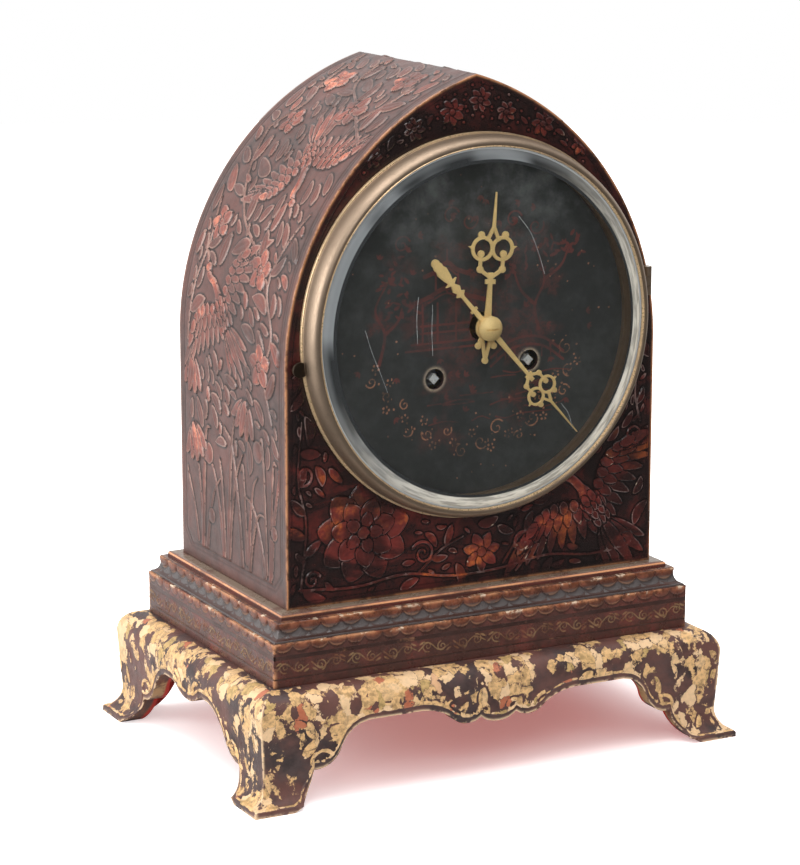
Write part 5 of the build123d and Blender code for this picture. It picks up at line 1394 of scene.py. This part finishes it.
def stand_lay(side, seed):
    """Function that lays a grid on one side of the stand, down to its shaped lower edge."""
    plan = PLANS[side]
    long_side = side in ("front", "back")
    apron = np.array(FRONT_APRON if long_side else SIDE_APRON, float)
    foot = apron[-1, 0]
    full = plan.half + GILDED_REACH
    scrolls = []
    for way in (-1, 1):
        if long_side:
            scrolls += [((34, way * 26), 8.0, 1.25, 3.0, way), ((44, way * 95), 8.5, 1.3, 0.3, -way),
                        ((30, way * 44), 5.5, 1.1, 4.2, -way), ((31, way * 7.5), 5.0, 1.1, 0.2, way)]
        else:
            scrolls += [((43, way * 53), 7.5, 1.25, 0.3, -way), ((27, way * 13), 6.0, 1.2, 3.0, way)]

    def lay(a, b):
        run = (2 * a - 1) * full
        low = np.interp(np.abs(run), apron[:, 0], apron[:, 1], right=0.0)
        depth = STAND.run_at_height(np.clip(low, 0.0, 44.0))
        u = b * depth
        p, z, dp, dz = STAND.at(u)
        beyond = np.clip(np.abs(run) - foot, 0, None) / (full - foot)
        t = np.sign(run) * (np.minimum(np.abs(run), foot) + beyond * (plan.half + p - foot))
        carving = Carving(u, run, 0.08)
        draw_stand(carving, u, run, depth - u, full, seed, scrolls)
        return plan.place(t, p, z), plan.direction(dp, dz), carving.height, carving.paint

    return lay


def draw_dial(x, z):
    """Faded garden with a pavilion, a bridge, trees and water, over small coral scrolls and dots."""
    rng = np.random.default_rng(12)
    scene = Carving(x, z, 0.0)
    cloud = np.zeros(x.shape)
    for _ in range(46):
        place = (rng.normal(0, 27), rng.normal(2, 22))
        if math.hypot(*place) > 58:
            continue
        where = scene.near(*place, 18)
        ds, dt = x[where] - place[0], z[where] - place[1]
        turn = np.arctan2(dt, ds)
        edge = rng.uniform(5, 14) * (
            0.8 + 0.3 * np.sin(3 * turn + rng.uniform(0, 6)) + 0.2 * np.sin(8 * turn + rng.uniform(0, 6))
        )
        cloud[where] = np.maximum(
            cloud[where], rng.uniform(0.3, 0.9) * step_up(1.25 - np.hypot(ds, dt * 1.5) / edge, 0, 0.7)
        )

    roofs = (
        [(-36, 13), (-26, 16), (-16, 20), (-6, 16), (4, 13)],
        [(-28, 26), (-21, 28.5), (-16, 32), (-11, 28.5), (-4, 26)]
    )
    for roof in roofs:
        scene.stem(roof, 2.2, 0.05, 1)
        scene.stem([(a, b - 2.6) for a, b in roof[1:4]], 0.9, 0.05, 1)
    posts = [((k, 13), (k, -6)) for k in (-29, -21, -11, -3)] + [
        ((k, 26), (k, 18)) for k in (-22, -16, -10)
    ] + [((-16, 32), (-16, 38))]
    rails = [((-35, -6), (3, -6)), ((-38, -9), (6, -9)), ((-30, -1), (-2, -1)), ((-30, 2.5), (-2, 2.5))]
    for first, last in posts + rails:
        middle = ((first[0] + last[0]) / 2, (first[1] + last[1]) / 2)
        scene.stem([first, middle, last], 1.1, 0.05, 1)
    for rise in (0.0, -4.0):
        scene.stem(
            [(8, -16 + rise), (18, -9 + rise), (28, -7 + rise), (38, -9 + rise), (48, -16 + rise)], 1.3,
            0.05, 1
        )
    for k in range(8):
        scene.stem([(11 + 5 * k, -13), (11 + 5 * k, -15), (11 + 5 * k, -17.5)], 0.7, 0.05, 1)
    trees = (
        [
            (34, -4), (32, 8), (37, 20), (33, 34)
        ], [(37, 20), (46, 26), (50, 34)], [(32, 8), (24, 16), (20, 26)],
        [(-52, -14), (-49, 0), (-54, 12), (-48, 24)], [(-49, 0), (-42, 6), (-40, 12)],
    )
    for trunk in trees:
        scene.stem(trunk, 1.8, 0.05, 1, 0.9)
        for _ in range(16):
            place = (trunk[-1][0] + rng.normal(0, 5), trunk[-1][1] + rng.normal(1, 4))
            scene.leaf(*place, rng.uniform(3, 5), rng.uniform(1.2, 1.8), rng.uniform(0, math.pi), 0.05, 1)
    for _ in range(16):
        start = (rng.uniform(-52, 34), rng.uniform(-46, -20))
        run = rng.uniform(8, 22)
        scene.stem(
            [start, (start[0] + run / 2, start[1] + rng.normal(0, 0.8)), (start[0] + run, start[1])], 0.8,
            0.05, 1, 0.5
        )
    for place, way in (((-14, 54), 1), ((-4, 51), -1), ((20, 50), 1), ((32, 46), -1), ((-40, 42), 1)):
        scene.stem(scroll_points(*place, 4.5, 1.3, 0.4, way), 1.0, 0.05, 1, 0.6)
    for _ in range(46):
        turn, radius = rng.uniform(0, math.tau), rng.uniform(24, 66)
        for leaf in (-0.7, 0.0, 0.7):
            way = turn * 3 + leaf
            place = (
                radius * math.cos(turn) + 1.6 * math.cos(way), radius * math.sin(turn) + 1.6 * math.sin(way)
            )
            scene.leaf(*place, 3.0, 1.1, way, 0.05, 1)

    scroll = Carving(x, z, 0.0)
    for k in range(30):
        turn = math.radians(196 + 148 * k / 29)
        radius = 56 + 5 * math.sin(k * 2.1)
        place = (radius * math.cos(turn), radius * math.sin(turn))
        if k % 2:
            way = 1 if k % 4 == 1 else -1
            scroll.stem(
                scroll_points(*place, rng.uniform(2.6, 4.4), 1.2, rng.uniform(0, 6), way), 0.8, 0.1, 1, 0.5
            )
        else:
            for dot in range(5):
                away = turn + dot * math.tau / 5
                scroll.ball(place[0] + 1.6 * math.cos(away), place[1] + 1.6 * math.sin(away), 0.65, 0.1, 1)
        link = math.radians(196 + 148 * (k + 0.5) / 29)
        scroll.ball(57 * math.cos(link), 57 * math.sin(link), 0.6, 0.1, 1)
    for _ in range(60):
        turn, radius = rng.uniform(0, math.tau), rng.uniform(40, 74)
        scroll.ball(radius * math.cos(turn), radius * math.sin(turn), rng.uniform(0.35, 0.6), 0.1, 1)
    scroll.height = scroll.height * 0.5 + 0.05
    scroll.paint = {
        "scene": scene.paint["edge"], "scroll": scroll.paint["edge"], "cloud": cloud,
        "worn": np.zeros(x.shape)
    }
    return scroll


# Turned pieces


def turned(name, profile, steps):
    """Spin a section, as radius and distance in front of the case, about the dial's axis."""
    clear_selection()
    mesh = bpy.data.meshes.new(name)
    points = [(r * MM, (FRONT_Y - out) * MM, DIAL_Z * MM) for r, out in profile]
    mesh.from_pydata(points, [(k, (k + 1) % len(points)) for k in range(len(points))], [])
    piece = bpy.data.objects.new(name, mesh)
    bpy.context.collection.objects.link(piece)
    bpy.context.view_layer.objects.active = piece
    piece.select_set(True)
    bpy.ops.object.mode_set(mode="EDIT")
    bpy.ops.mesh.select_all(action="SELECT")
    bpy.ops.mesh.spin(steps=steps, angle=math.tau, center=(0, 0, DIAL_Z * MM), axis=(0, 1, 0))
    bpy.ops.mesh.select_all(action="SELECT")
    bpy.ops.mesh.remove_doubles(threshold=0.000005)
    bpy.ops.mesh.normals_make_consistent(inside=False)
    bpy.ops.object.mode_set(mode="OBJECT")
    bpy.ops.object.shade_smooth_by_angle(angle=math.radians(34))
    return piece


def dome(radius, level, rise, count):
    """Points of a dome from its edge to its crown."""
    ball = (radius**2 + rise**2) / (2 * rise)
    half = math.asin(radius / ball)
    turns = np.linspace(half, 0, count)
    return [(ball * math.sin(k), level + rise - ball * (1 - math.cos(k))) for k in turns]


def bevelled_copy(node, name, width):
    """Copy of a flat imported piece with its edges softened."""
    clear_selection()
    piece = frame["nodes"][node].copy()
    piece.data = frame["nodes"][node].data.copy()
    piece.name = name
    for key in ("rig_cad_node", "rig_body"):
        if key in piece:
            del piece[key]
    piece.parent = None
    bpy.context.collection.objects.link(piece)
    bpy.context.view_layer.objects.active = piece
    piece.select_set(True)
    bpy.ops.object.mode_set(mode="EDIT")
    bpy.ops.mesh.select_all(action="SELECT")
    bpy.ops.mesh.remove_doubles(threshold=0.000004)
    bpy.ops.mesh.dissolve_limited(angle_limit=math.radians(1.5))
    bpy.ops.object.mode_set(mode="OBJECT")
    edge = piece.modifiers.new("Softened edges", "BEVEL")
    edge.width = width * MM
    edge.segments = 2
    edge.limit_method = "ANGLE"
    edge.angle_limit = math.radians(50)
    edge.use_clamp_overlap = True
    bpy.ops.object.modifier_apply(modifier=edge.name)
    bpy.ops.object.shade_smooth_by_angle(angle=math.radians(34))
    return piece


def tail_trim():
    """Lozenge, spurs and ball laid along the minute hand's tail, opposite its tip."""
    low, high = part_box("hand_nut")
    centre = np.array(((low.x + high.x) / 2, (low.z + high.z) / 2)) / MM
    points = np.array([(v.co.x, v.co.z) for v in frame["nodes"]["minute_hand"].data.vertices]) / MM - centre
    tip = points[np.argmax(np.hypot(*points.T))]
    back = -tip / np.hypot(*tip)
    across = np.array((-back[1], back[0]))
    tail = float((points @ back).max())
    near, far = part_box("minute_hand")[0].y / MM - 0.05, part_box("minute_hand")[1].y / MM + 0.05
    lozenge = [(-4.4, 0), (-1.2, 1.1), (0, 2.7), (1.2, 1.1), (4.4, 0), (1.2, -1.1), (0, -2.7), (-1.2, -1.1)]
    spurs = [
        (-1.7, 0), (-0.8, 1.3), (0.5, 3.6), (0.9, 1.5), (2.0, 0), (0.9, -1.5), (0.5, -3.6), (-0.8, -1.3)
    ]
    ball = [(2.1 * math.cos(k * math.tau / 24), 2.1 * math.sin(k * math.tau / 24)) for k in range(24)]
    mesh = bpy.data.meshes.new("minute_hand_tail")
    corners, faces = [], []
    for run, shape in ((tail * 0.535, lozenge), (tail * 0.70, spurs), (tail - 0.2, ball)):
        first, count = len(corners), len(shape)
        for level in (near, far):
            for a, b in shape:
                x, z = centre + back * (run + a) + across * b
                corners.append((x * MM, level * MM, z * MM))
        faces.append(tuple(range(first, first + count)))
        faces.append(tuple(range(first + count, first + 2 * count)))
        for k in range(count):
            after = (k + 1) % count
            faces.append((first + k, first + after, first + count + after, first + count + k))
    mesh.from_pydata(corners, [], faces)
    piece = bpy.data.objects.new("minute_hand_tail", mesh)
    bpy.context.collection.objects.link(piece)
    clear_selection()
    bpy.context.view_layer.objects.active = piece
    piece.select_set(True)
    bpy.ops.object.mode_set(mode="EDIT")
    bpy.ops.mesh.select_all(action="SELECT")
    bpy.ops.mesh.normals_make_consistent(inside=False)
    bpy.ops.object.mode_set(mode="OBJECT")
    return piece


# Operators, one for each piece or group


def facing(place, target):
    """Turn of a camera or lamp that looks from a place to a target."""
    aim = np.array(target) - np.array(place)
    return math.atan2(math.hypot(aim[0], aim[1]), -aim[2]), 0, math.atan2(aim[1], aim[0]) - math.pi / 2


class CLOCK_OT_stage(bpy.types.Operator):
    """Set the camera, the pale floor and the studio light"""

    bl_idname = "clock.stage"
    bl_label = "Stage"

    def execute(self, context):
        stage = context.scene.clock_stage
        clear_selection()
        bpy.ops.object.camera_add(location=CAMERA_PLACE)
        camera = context.object
        camera.rotation_euler = facing(CAMERA_PLACE, CAMERA_AIM)
        camera.data.lens = stage.lens
        camera.data.sensor_width = 36
        camera.data.clip_end = 50
        context.scene.camera = camera

        bpy.ops.mesh.primitive_circle_add(
            vertices=96, radius=FLOOR_RADIUS, fill_type="NGON", location=(0, 0, 0)
        )
        floor = context.object
        floor.name = "studio_floor"
        floor.data.materials.append(floor_white())

        lamps = (
            ("Top light", (-0.25, -0.15, 2.1), 1.7, stage.key),
            ("Left light", (-2.0, 0.1, 0.62), 1.3, stage.side),
            ("Front light", (-1.1, -1.9, 1.5), 1.0, stage.side * 0.4),
        )
        for name, place, size, power in lamps:
            bpy.ops.object.light_add(type="AREA", location=place)
            lamp = context.object
            lamp.name = name
            lamp.rotation_euler = facing(place, LAMP_AIM)
            lamp.data.size = size
            lamp.data.energy = power
        studio_world(context.scene, stage.ambient)
        context.scene.view_settings.view_transform = "Standard"
        return {"FINISHED"}


def floor_white():
    """White floor that keeps the shadow, with a painted red bounce glow and painted shade under the stand,
    and dims in mirrored views of it.
    """
    material = bpy.data.materials.new("Studio floor")
    material.use_nodes = True
    tree = material.node_tree
    tree.nodes.clear()
    output = tree.nodes.new("ShaderNodeOutputMaterial")
    place = add_node(tree, "ShaderNodeSeparateXYZ", {0: object_place(tree)})
    across = minus(tree, calc(tree, "ABSOLUTE", place.outputs[0]), 0.105)
    deep = minus(tree, calc(tree, "ABSOLUTE", place.outputs[1]), 0.07)
    gap = most(tree, across, deep)
    path = tree.nodes.new("ShaderNodeLightPath")
    far = spread(tree, gap, 0.0, 0.10)
    far = times(tree, far, spread(tree, place.outputs[1], -0.05, 0.15, 0.95, 0.25))
    dim = times(tree, path.outputs["Is Glossy Ray"], far)
    matt = add_node(
        tree, "ShaderNodeBsdfDiffuse", {"Color": blend(tree, dim, (0.90, 0.90, 0.90), (0, 0, 0))}
    )
    # Painted light and shade under the stand: the camera's glow is tinted red and turned down there.
    under = spread(tree, gap, -0.03, 0.07, 0.95, 0.0)
    under = times(tree, under, spread(tree, place.outputs[0], -0.14, 0.0, 0.3, 1.0))
    tint = blend(tree, under, (1, 1, 1), (1.0, 0.30, 0.28))
    level = times(tree, spread(tree, gap, 0.0, 0.30, 0.62, 1.0), spread(tree, under, 0.0, 1.0, 1.0, 0.5))
    seen = times(tree, path.outputs["Is Camera Ray"], level)
    glow = add_node(tree, "ShaderNodeEmission", {"Color": tint, "Strength": seen})
    both = add_node(tree, "ShaderNodeAddShader", {0: matt.outputs[0], 1: glow.outputs[0]})
    tree.links.new(both.outputs[0], output.inputs[0])
    return material


def studio_world(scene, ambient):
    """White surroundings, with the dim side of the studio in front of the clock."""
    world = bpy.data.worlds.new("Studio")
    scene.world = world
    world.use_nodes = True
    tree = world.node_tree
    tree.nodes.clear()
    output = tree.nodes.new("ShaderNodeOutputWorld")
    path = tree.nodes.new("ShaderNodeLightPath")
    direction = add_node(
        tree, "ShaderNodeSeparateXYZ", {0: add_node(tree, "ShaderNodeTexCoord").outputs["Generated"]}
    )
    ahead = spread(tree, direction.outputs[1], -0.55, 0.10, 0.035, 1.0)
    above = spread(tree, direction.outputs[2], 0.35, 0.8, 0.0, 0.75)
    mirrored = most(tree, ahead, above)
    shiny = most(tree, path.outputs["Is Glossy Ray"], path.outputs["Is Transmission Ray"])
    level = plus(tree, times(tree, shiny, mirrored),
                 times(tree, minus(tree, 1.0, shiny), ambient))
    level = most(tree, level, path.outputs["Is Camera Ray"])
    sky = add_node(tree, "ShaderNodeBackground", {"Color": (1, 1, 1, 1), "Strength": level})
    tree.links.new(sky.outputs[0], output.inputs[0])


class CLOCK_OT_side_carving(bpy.types.Operator):
    """Carve both bent sides of the case"""

    bl_idname = "clock.side_carving"
    bl_label = "Side carving"

    def execute(self, context):
        sizes = context.scene.clock_sizes
        material = side_lacquer(context.scene.clock_colours)
        depth = BACK_Y - FRONT_Y
        rows = round(depth / sizes.side_cell)
        columns = round(SIDE_LENGTH / sizes.side_cell)
        for name, way, seed in (("left_carving", -1, 7), ("right_carving", 1, 19)):

            def lay(a, b, way=way, seed=seed):
                s = a * SIDE_LENGTH
                t = (b - 0.5) * depth
                x, z, nx, nz = side_outline(s)
                carving = draw_side(s, t, sizes, seed, -way)
                flip = -way
                base = np.stack([x * flip, t, z], 1)
                normal = np.stack([nx * flip, np.zeros_like(s), nz], 1)
                return base, normal, carving.height, carving.paint

            dress(carved_grid(name, columns, rows, lay), material, "case")
        return {"FINISHED"}


class CLOCK_OT_front_carving(bpy.types.Operator):
    """Raise and lacquer the front round the bezel"""

    bl_idname = "clock.front_carving"
    bl_label = "Front carving"

    def execute(self, context):
        sizes = context.scene.clock_sizes

        def lay(a, b):
            outer_x, outer_z = front_outline(
                np.interp(a, (0, 0.26, 0.40, 0.60, 0.74, 1), (0, 0.20, 0.40, 0.60, 0.80, 1))
            )
            away = np.hypot(outer_x, outer_z - DIAL_Z)
            start = (BEZEL_RADIUS - 3.5) / away
            share = start + (1 - start) * b
            x = outer_x * share
            z = DIAL_Z + (outer_z - DIAL_Z) * share
            carving = draw_front(x, z, sizes)
            gap = away * (1 - share)
            radius = np.hypot(x, z - DIAL_Z)
            keep = step_up(radius, BEZEL_RADIUS + 0.6, BEZEL_RADIUS + 3.2) * step_up(gap, 1.6, 3.4)
            carving.height = 0.12 + (carving.height - 0.12) * keep
            carving.paint["warm"] = carving.paint["warm"] * keep
            carving.paint["edge"] = np.where(keep > 0.5, carving.paint["edge"], BARE)
            # The groove round the bezel is sunk and also darkened as painted shade.
            groove = np.exp(-(((gap - 3.6) / 0.4) ** 2)) * step_up(
                radius, BEZEL_RADIUS + 0.6, BEZEL_RADIUS + 3.0
            )
            carving.height -= 0.1 * groove
            carving.paint["hollow_shade"] = np.maximum(carving.paint["hollow_shade"], groove * 0.7)
            carving.paint["worn"] = np.exp(-((gap / 0.75) ** 2))
            base = np.stack([x, np.full_like(x, FRONT_Y), z], 1)
            normal = np.tile((0.0, -1.0, 0.0), (len(x), 1))
            return base, normal, carving.height, carving.paint

        piece = carved_grid("front_carving", 1100, 88, lay, closed=True)
        dress(piece, front_lacquer(context.scene.clock_colours), "case")
        return {"FINISHED"}


class CLOCK_OT_plinth_ornament(bpy.types.Operator):
    """Cover the plinth's mouldings with lappets, scallops, lines and scrolls"""

    bl_idname = "clock.plinth_ornament"
    bl_label = "Plinth ornament"

    def execute(self, context):
        material = plinth_lacquer(context.scene.clock_colours)
        for side, plan in PLANS.items():
            length = 2 * plan.half
            for part, profile, draw, reach, cell in (
                ("moulding", MOULDING, draw_moulding, MOULDING_REACH, 0.44),
                ("frieze", FRIEZE, draw_frieze, FRIEZE_REACH, 0.42),
            ):
                columns = round((length + 2 * reach) / cell)
                rows = round(profile.length / cell)
                lay = strip_lay(plan, profile, draw, reach)
                dress(carved_grid(f"{part}_{side}", columns, rows, lay), material, "case")
        return {"FINISHED"}


class CLOCK_OT_stand_gilding(bpy.types.Operator):
    """Gild the stand's boards and feet"""

    bl_idname = "clock.stand_gilding"
    bl_label = "Stand gilding"

    def execute(self, context):
        material = gilded_ground(context.scene.clock_colours)
        for seed, (side, plan) in enumerate(PLANS.items()):
            columns = round(2 * (plan.half + FOOT_REACH) / 0.62)
            piece = carved_grid(f"gilding_{side}", columns, 96, stand_lay(side, 40 + seed))
            dress(piece, material, "case")
        return {"FINISHED"}


class CLOCK_OT_dial_painting(bpy.types.Operator):
    """Paint the dial, with its holes left open"""

    bl_idname = "clock.dial_painting"
    bl_label = "Dial painting"

    def execute(self, context):
        middle = (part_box("hand_nut")[0].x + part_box("hand_nut")[1].x) / 2 / MM
        holes = []
        for node in ("going_winding_arbor", "strike_winding_arbor"):
            low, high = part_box(node)
            holes.append(((low.x + high.x) / 2 / MM, (low.z + high.z) / 2 / MM - DIAL_Z))

        def lay(a, b):
            turn = a * math.tau
            radius = 0.2 + b * (DIAL_RADIUS - 0.6)
            x = radius * np.cos(turn)
            z = radius * np.sin(turn)
            carving = draw_dial(x, z)
            for place, size in (
                (holes[0], WINDING_HOLE), (holes[1], WINDING_HOLE), ((middle, 0.0), CENTRE_HOLE)
            ):
                gap = np.hypot(x - place[0], z - place[1])
                snap = np.abs(gap - size) < HOLE_SNAP
                pull = np.where(snap, size / np.maximum(gap, 0.01), 1.0)
                x = place[0] + (x - place[0]) * pull
                z = place[1] + (z - place[1]) * pull
                if size < CENTRE_HOLE:
                    ring = np.exp(-(((gap - size) / 0.9) ** 2))
                    carving.paint["worn"] = np.maximum(carving.paint["worn"], ring * (gap > size - 0.7))
            base = np.stack([x, np.full_like(x, FRONT_Y), z + DIAL_Z], 1)
            return base, np.tile((0.0, -1.0, 0.0), (len(x), 1)), carving.height + 0.03, carving.paint

        piece = carved_grid("dial_painting", 760, 124, lay, closed=True)
        bpy.ops.object.mode_set(mode="EDIT")
        bpy.ops.mesh.select_all(action="DESELECT")
        bpy.ops.object.mode_set(mode="OBJECT")
        for face in piece.data.polygons:
            x, z = face.center.x / MM, face.center.z / MM - DIAL_Z
            open_there = any(math.hypot(x - a, z - b) < WINDING_HOLE - 0.1 for a, b in holes)
            open_there = open_there or math.hypot(x - middle, z) < CENTRE_HOLE - 0.1
            face.select = open_there or math.hypot(x, z) < 0.3
        bpy.ops.object.mode_set(mode="EDIT")
        bpy.ops.mesh.select_mode(type="FACE")
        bpy.ops.mesh.delete(type="FACE")
        bpy.ops.object.mode_set(mode="OBJECT")
        dress(piece, dial_paint(context.scene.clock_colours), "case")
        return {"FINISHED"}


class CLOCK_OT_bezel(bpy.types.Operator):
    """Turn the brass bezel and its bevelled domed glass"""

    bl_idname = "clock.bezel"
    bl_label = "Bezel and glass"

    def execute(self, context):
        colours = context.scene.clock_colours
        brass = metal(
            "Aged bezel brass", colours.bezel, 0.44, shade(colours.bezel, 0.8), 0.42, (1, 1, 1), 0.85
        )
        body = [(90.6, 0.4), (92.6, 0.4), (92.9, 0.7), (92.9, 2.0), (92.7, 2.35), (92.1, 2.5)]
        for k in np.linspace(0, 1, 15):
            turn = k * math.pi / 2
            body.append((87.9 + 4.1 * math.cos(turn) ** 0.9, 2.7 + 9.25 * math.sin(turn) ** 0.95))
        body += [
            (87.5, 11.7), (87.2, 12.0), (86.85, 11.9), (86.7, 11.5), (86.7, 10.2), (88.6, 10.2),
            (88.6, 5.4), (90.6, 5.4)
        ]
        ring = turned("bezel_ring_turned", body, 256)
        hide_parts("bezel_ring")
        dress(ring, brass, "bezel")
        # The flange's outer edge and the inner lip get a lighter brass colour.
        brighter_edge = [min(c * k, 1) for c, k in zip(colours.bezel, (2.2, 2.1, 1.7))]
        ring.data.materials.append(
            metal("Brighter bezel edge", brighter_edge, 0.3, colours.bezel, 0.4, (1, 1, 1), 0.6)
        )
        for face in ring.data.polygons:
            radius = math.hypot(face.center.x / MM, face.center.z / MM - DIAL_Z)
            face.material_index = int(radius < 87.6 or radius > 92.05)

        section = [(88.3, 7.0), (88.3, 9.3)]
        section += dome(GLASS_RADIUS, GLASS_LEVEL, GLASS_RISE, 20)
        section += dome(82.0, 7.0, 10.3, 20)[::-1]
        glass = turned("bezel_glass_ground", section, 224)
        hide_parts("bezel_glass")
        dress(glass, clear_glass(), "bezel")
        glass.data.materials.append(bevel_painted_reflections(colours))
        for face in glass.data.polygons:
            out = FRONT_Y - face.center.y / MM
            radius = math.hypot(face.center.x / MM, face.center.z / MM - DIAL_Z)
            face.material_index = int(radius > 79.6 and 9.2 < out < 12.0 and face.normal.y < -0.5)
        dark = metal("Dark brass", shade(colours.bezel, 0.35), 0.45, shade(colours.bezel, 0.2), 0.5)
        for node in ("glass_retainer", "bezel_seat", "bezel_hinge_leaf", "bezel_hinge_bracket"):
            paint_node(node, brass)
        paint_node("bezel_tab", dark)
        return {"FINISHED"}


class CLOCK_OT_glass_marks(bpy.types.Operator):
    """Draw a few scratches on the glass"""

    bl_idname = "clock.glass_marks"
    bl_label = "Glass marks"

    def execute(self, context):
        marks = (
            [(14, 54), (20, 46), (24, 36), (27, 26)],
            [(-66, 6), (-63, -4), (-59, -14), (-55, -24)],
            [(-40, 20), (-41, 10), (-40.6, -2)],
            [(-33, 16), (-33.5, 4), (-33, -8)],
            [(38, -38), (43, -44), (46, -52)],
        )
        ball = (GLASS_RADIUS**2 + GLASS_RISE**2) / (2 * GLASS_RISE)
        curve = bpy.data.curves.new("glass_marks", "CURVE")
        curve.dimensions = "3D"
        curve.bevel_depth = 0.075 * MM
        curve.bevel_resolution = 1
        for mark in marks:
            line = smooth_line(mark)
            spline = curve.splines.new("POLY")
            spline.points.add(len(line) - 1)
            for point, (x, z) in zip(spline.points, line):
                out = GLASS_LEVEL + GLASS_RISE - ball + math.sqrt(ball**2 - x**2 - z**2) + 0.04
                point.co = (x * MM, (FRONT_Y - out) * MM, (DIAL_Z + z) * MM, 1)
        clear_selection()
        piece = bpy.data.objects.new("glass_marks", curve)
        context.collection.objects.link(piece)
        context.view_layer.objects.active = piece
        piece.select_set(True)
        bpy.ops.object.convert(target="MESH")
        dress(context.object, scratch_white(), "bezel")
        return {"FINISHED"}


class CLOCK_OT_hands(bpy.types.Operator):
    """Soften and polish the pierced hands and their nut"""

    bl_idname = "clock.hands"
    bl_label = "Hands"

    def execute(self, context):
        colours = context.scene.clock_colours
        gilt = metal("Gilt hand brass", colours.gilt, 0.40, shade(colours.gilt, 0.80), 0.4, (1, 1, 1), 0.1)
        for node, body in (
            ("hour_hand", "hour_set"), ("minute_hand", "centre_set"), ("hand_nut", "centre_set")
        ):
            piece = bevelled_copy(node, f"{node}_finished", 0.22)
            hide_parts(node)
            dress(piece, gilt, body)
        dress(tail_trim(), gilt, "centre_set")
        return {"FINISHED"}


def paint_node(node, material):
    """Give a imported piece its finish."""
    mesh = frame["nodes"][node].data
    mesh.materials.clear()
    mesh.materials.append(material)


class CLOCK_OT_packed_finishes(bpy.types.Operator):
    """Finish the pieces that stay as they were packed"""

    bl_idname = "clock.packed_finishes"
    bl_label = "Packed finishes"

    def execute(self, context):
        colours = context.scene.clock_colours
        brass = metal(
            "Movement brass", colours.movement, 0.30, shade(colours.movement, 0.66), 0.40, (1, 6, 1)
        )
        steel = metal("Steel", colours.steel, 0.34, shade(colours.steel, 0.6), 0.40, (1, 5, 1), 0.7)
        bright = metal("Bright steel", shade(colours.steel, 1.5), 0.3, colours.steel, 0.4, (1, 1, 1), 0.25)
        blued = metal("Blued steel", colours.blued, 0.30, shade(colours.blued, 0.5), 0.4)
        iron = metal("Cast iron", shade(colours.steel, 0.2), 0.6, shade(colours.steel, 0.1), 0.5)
        lacquered = (
            "case_front_panel", "case_side_left", "case_side_right", "case_back_frame", "back_door",
            "plinth_moulding", "plinth_frieze", "dial_plate",
        )
        brassy = (
            "back_hinge_case_leaves", "back_hinge_door_leaves", "back_door_knob", "minute_wheel",
            "hour_wheel", "movement_front_plate", "movement_back_plate", "plate_pillars", "going_barrel",
            "strike_barrel", "intermediate_wheel", "centre_wheel", "third_wheel", "escape_wheel", "back_cock",
            "pendulum_bob", "rating_nut", "strike_pin_wheel", "fly",
        )
        steely = (
            "base_screws", "back_hinge_pins", "bezel_hinge_pin", "cannon_pinion", "pillar_nuts",
            "movement_bars", "pallets", "pendulum_rod", "hammer",
        )
        finishes = {
            plain_lacquer(colours): lacquered,
            cap_lacquer(colours): ("plinth_cap",),
            stand_inside(colours): ("stand_front", "stand_back", "stand_left", "stand_right"),
            bare_wood(colours): ("case_floor", "plinth_floor", "stand_corner_blocks"),
            brass: brassy,
            steel: steely,
            bright: ("going_winding_arbor", "strike_winding_arbor"),
            blued: ("going_mainspring", "strike_mainspring", "gong_rod"),
            iron: ("gong_block",),
        }
        for material, nodes in finishes.items():
            for node in nodes:
                paint_node(node, material)
        return {"FINISHED"}


class CLOCK_PT_panel(bpy.types.Panel):
    """Clock pieces in the sidebar"""

    bl_idname = "CLOCK_PT_panel"
    bl_label = "Clock"
    bl_space_type = "VIEW_3D"
    bl_region_type = "UI"
    bl_category = "Clock"

    def draw(self, context):
        for step in STEPS:
            self.layout.operator(step.bl_idname)
        for group in (context.scene.clock_sizes, context.scene.clock_colours, context.scene.clock_stage):
            for key in group.__annotations__:
                self.layout.prop(group, key)


STEPS = (
    CLOCK_OT_stage,
    CLOCK_OT_packed_finishes,
    CLOCK_OT_side_carving,
    CLOCK_OT_front_carving,
    CLOCK_OT_plinth_ornament,
    CLOCK_OT_stand_gilding,
    CLOCK_OT_dial_painting,
    CLOCK_OT_bezel,
    CLOCK_OT_glass_marks,
    CLOCK_OT_hands,
)
SETTINGS = {"clock_sizes": ClockSizes, "clock_colours": ClockColours, "clock_stage": ClockStage}


def register():
    """Register the classes and the settings."""
    for item in (*SETTINGS.values(), *STEPS, CLOCK_PT_panel):
        bpy.utils.register_class(item)
    for key, item in SETTINGS.items():
        setattr(bpy.types.Scene, key, bpy.props.PointerProperty(type=item))


def unregister():
    """Remove the settings and the classes."""
    for key in SETTINGS:
        delattr(bpy.types.Scene, key)
    for item in reversed((*SETTINGS.values(), *STEPS, CLOCK_PT_panel)):
        bpy.utils.unregister_class(item)


def main():
    """Make every piece in order."""
    register()
    for step in STEPS:
        group, name = step.bl_idname.split(".")
        getattr(getattr(bpy.ops, group), name)()


if __name__ == "__main__":
    main()
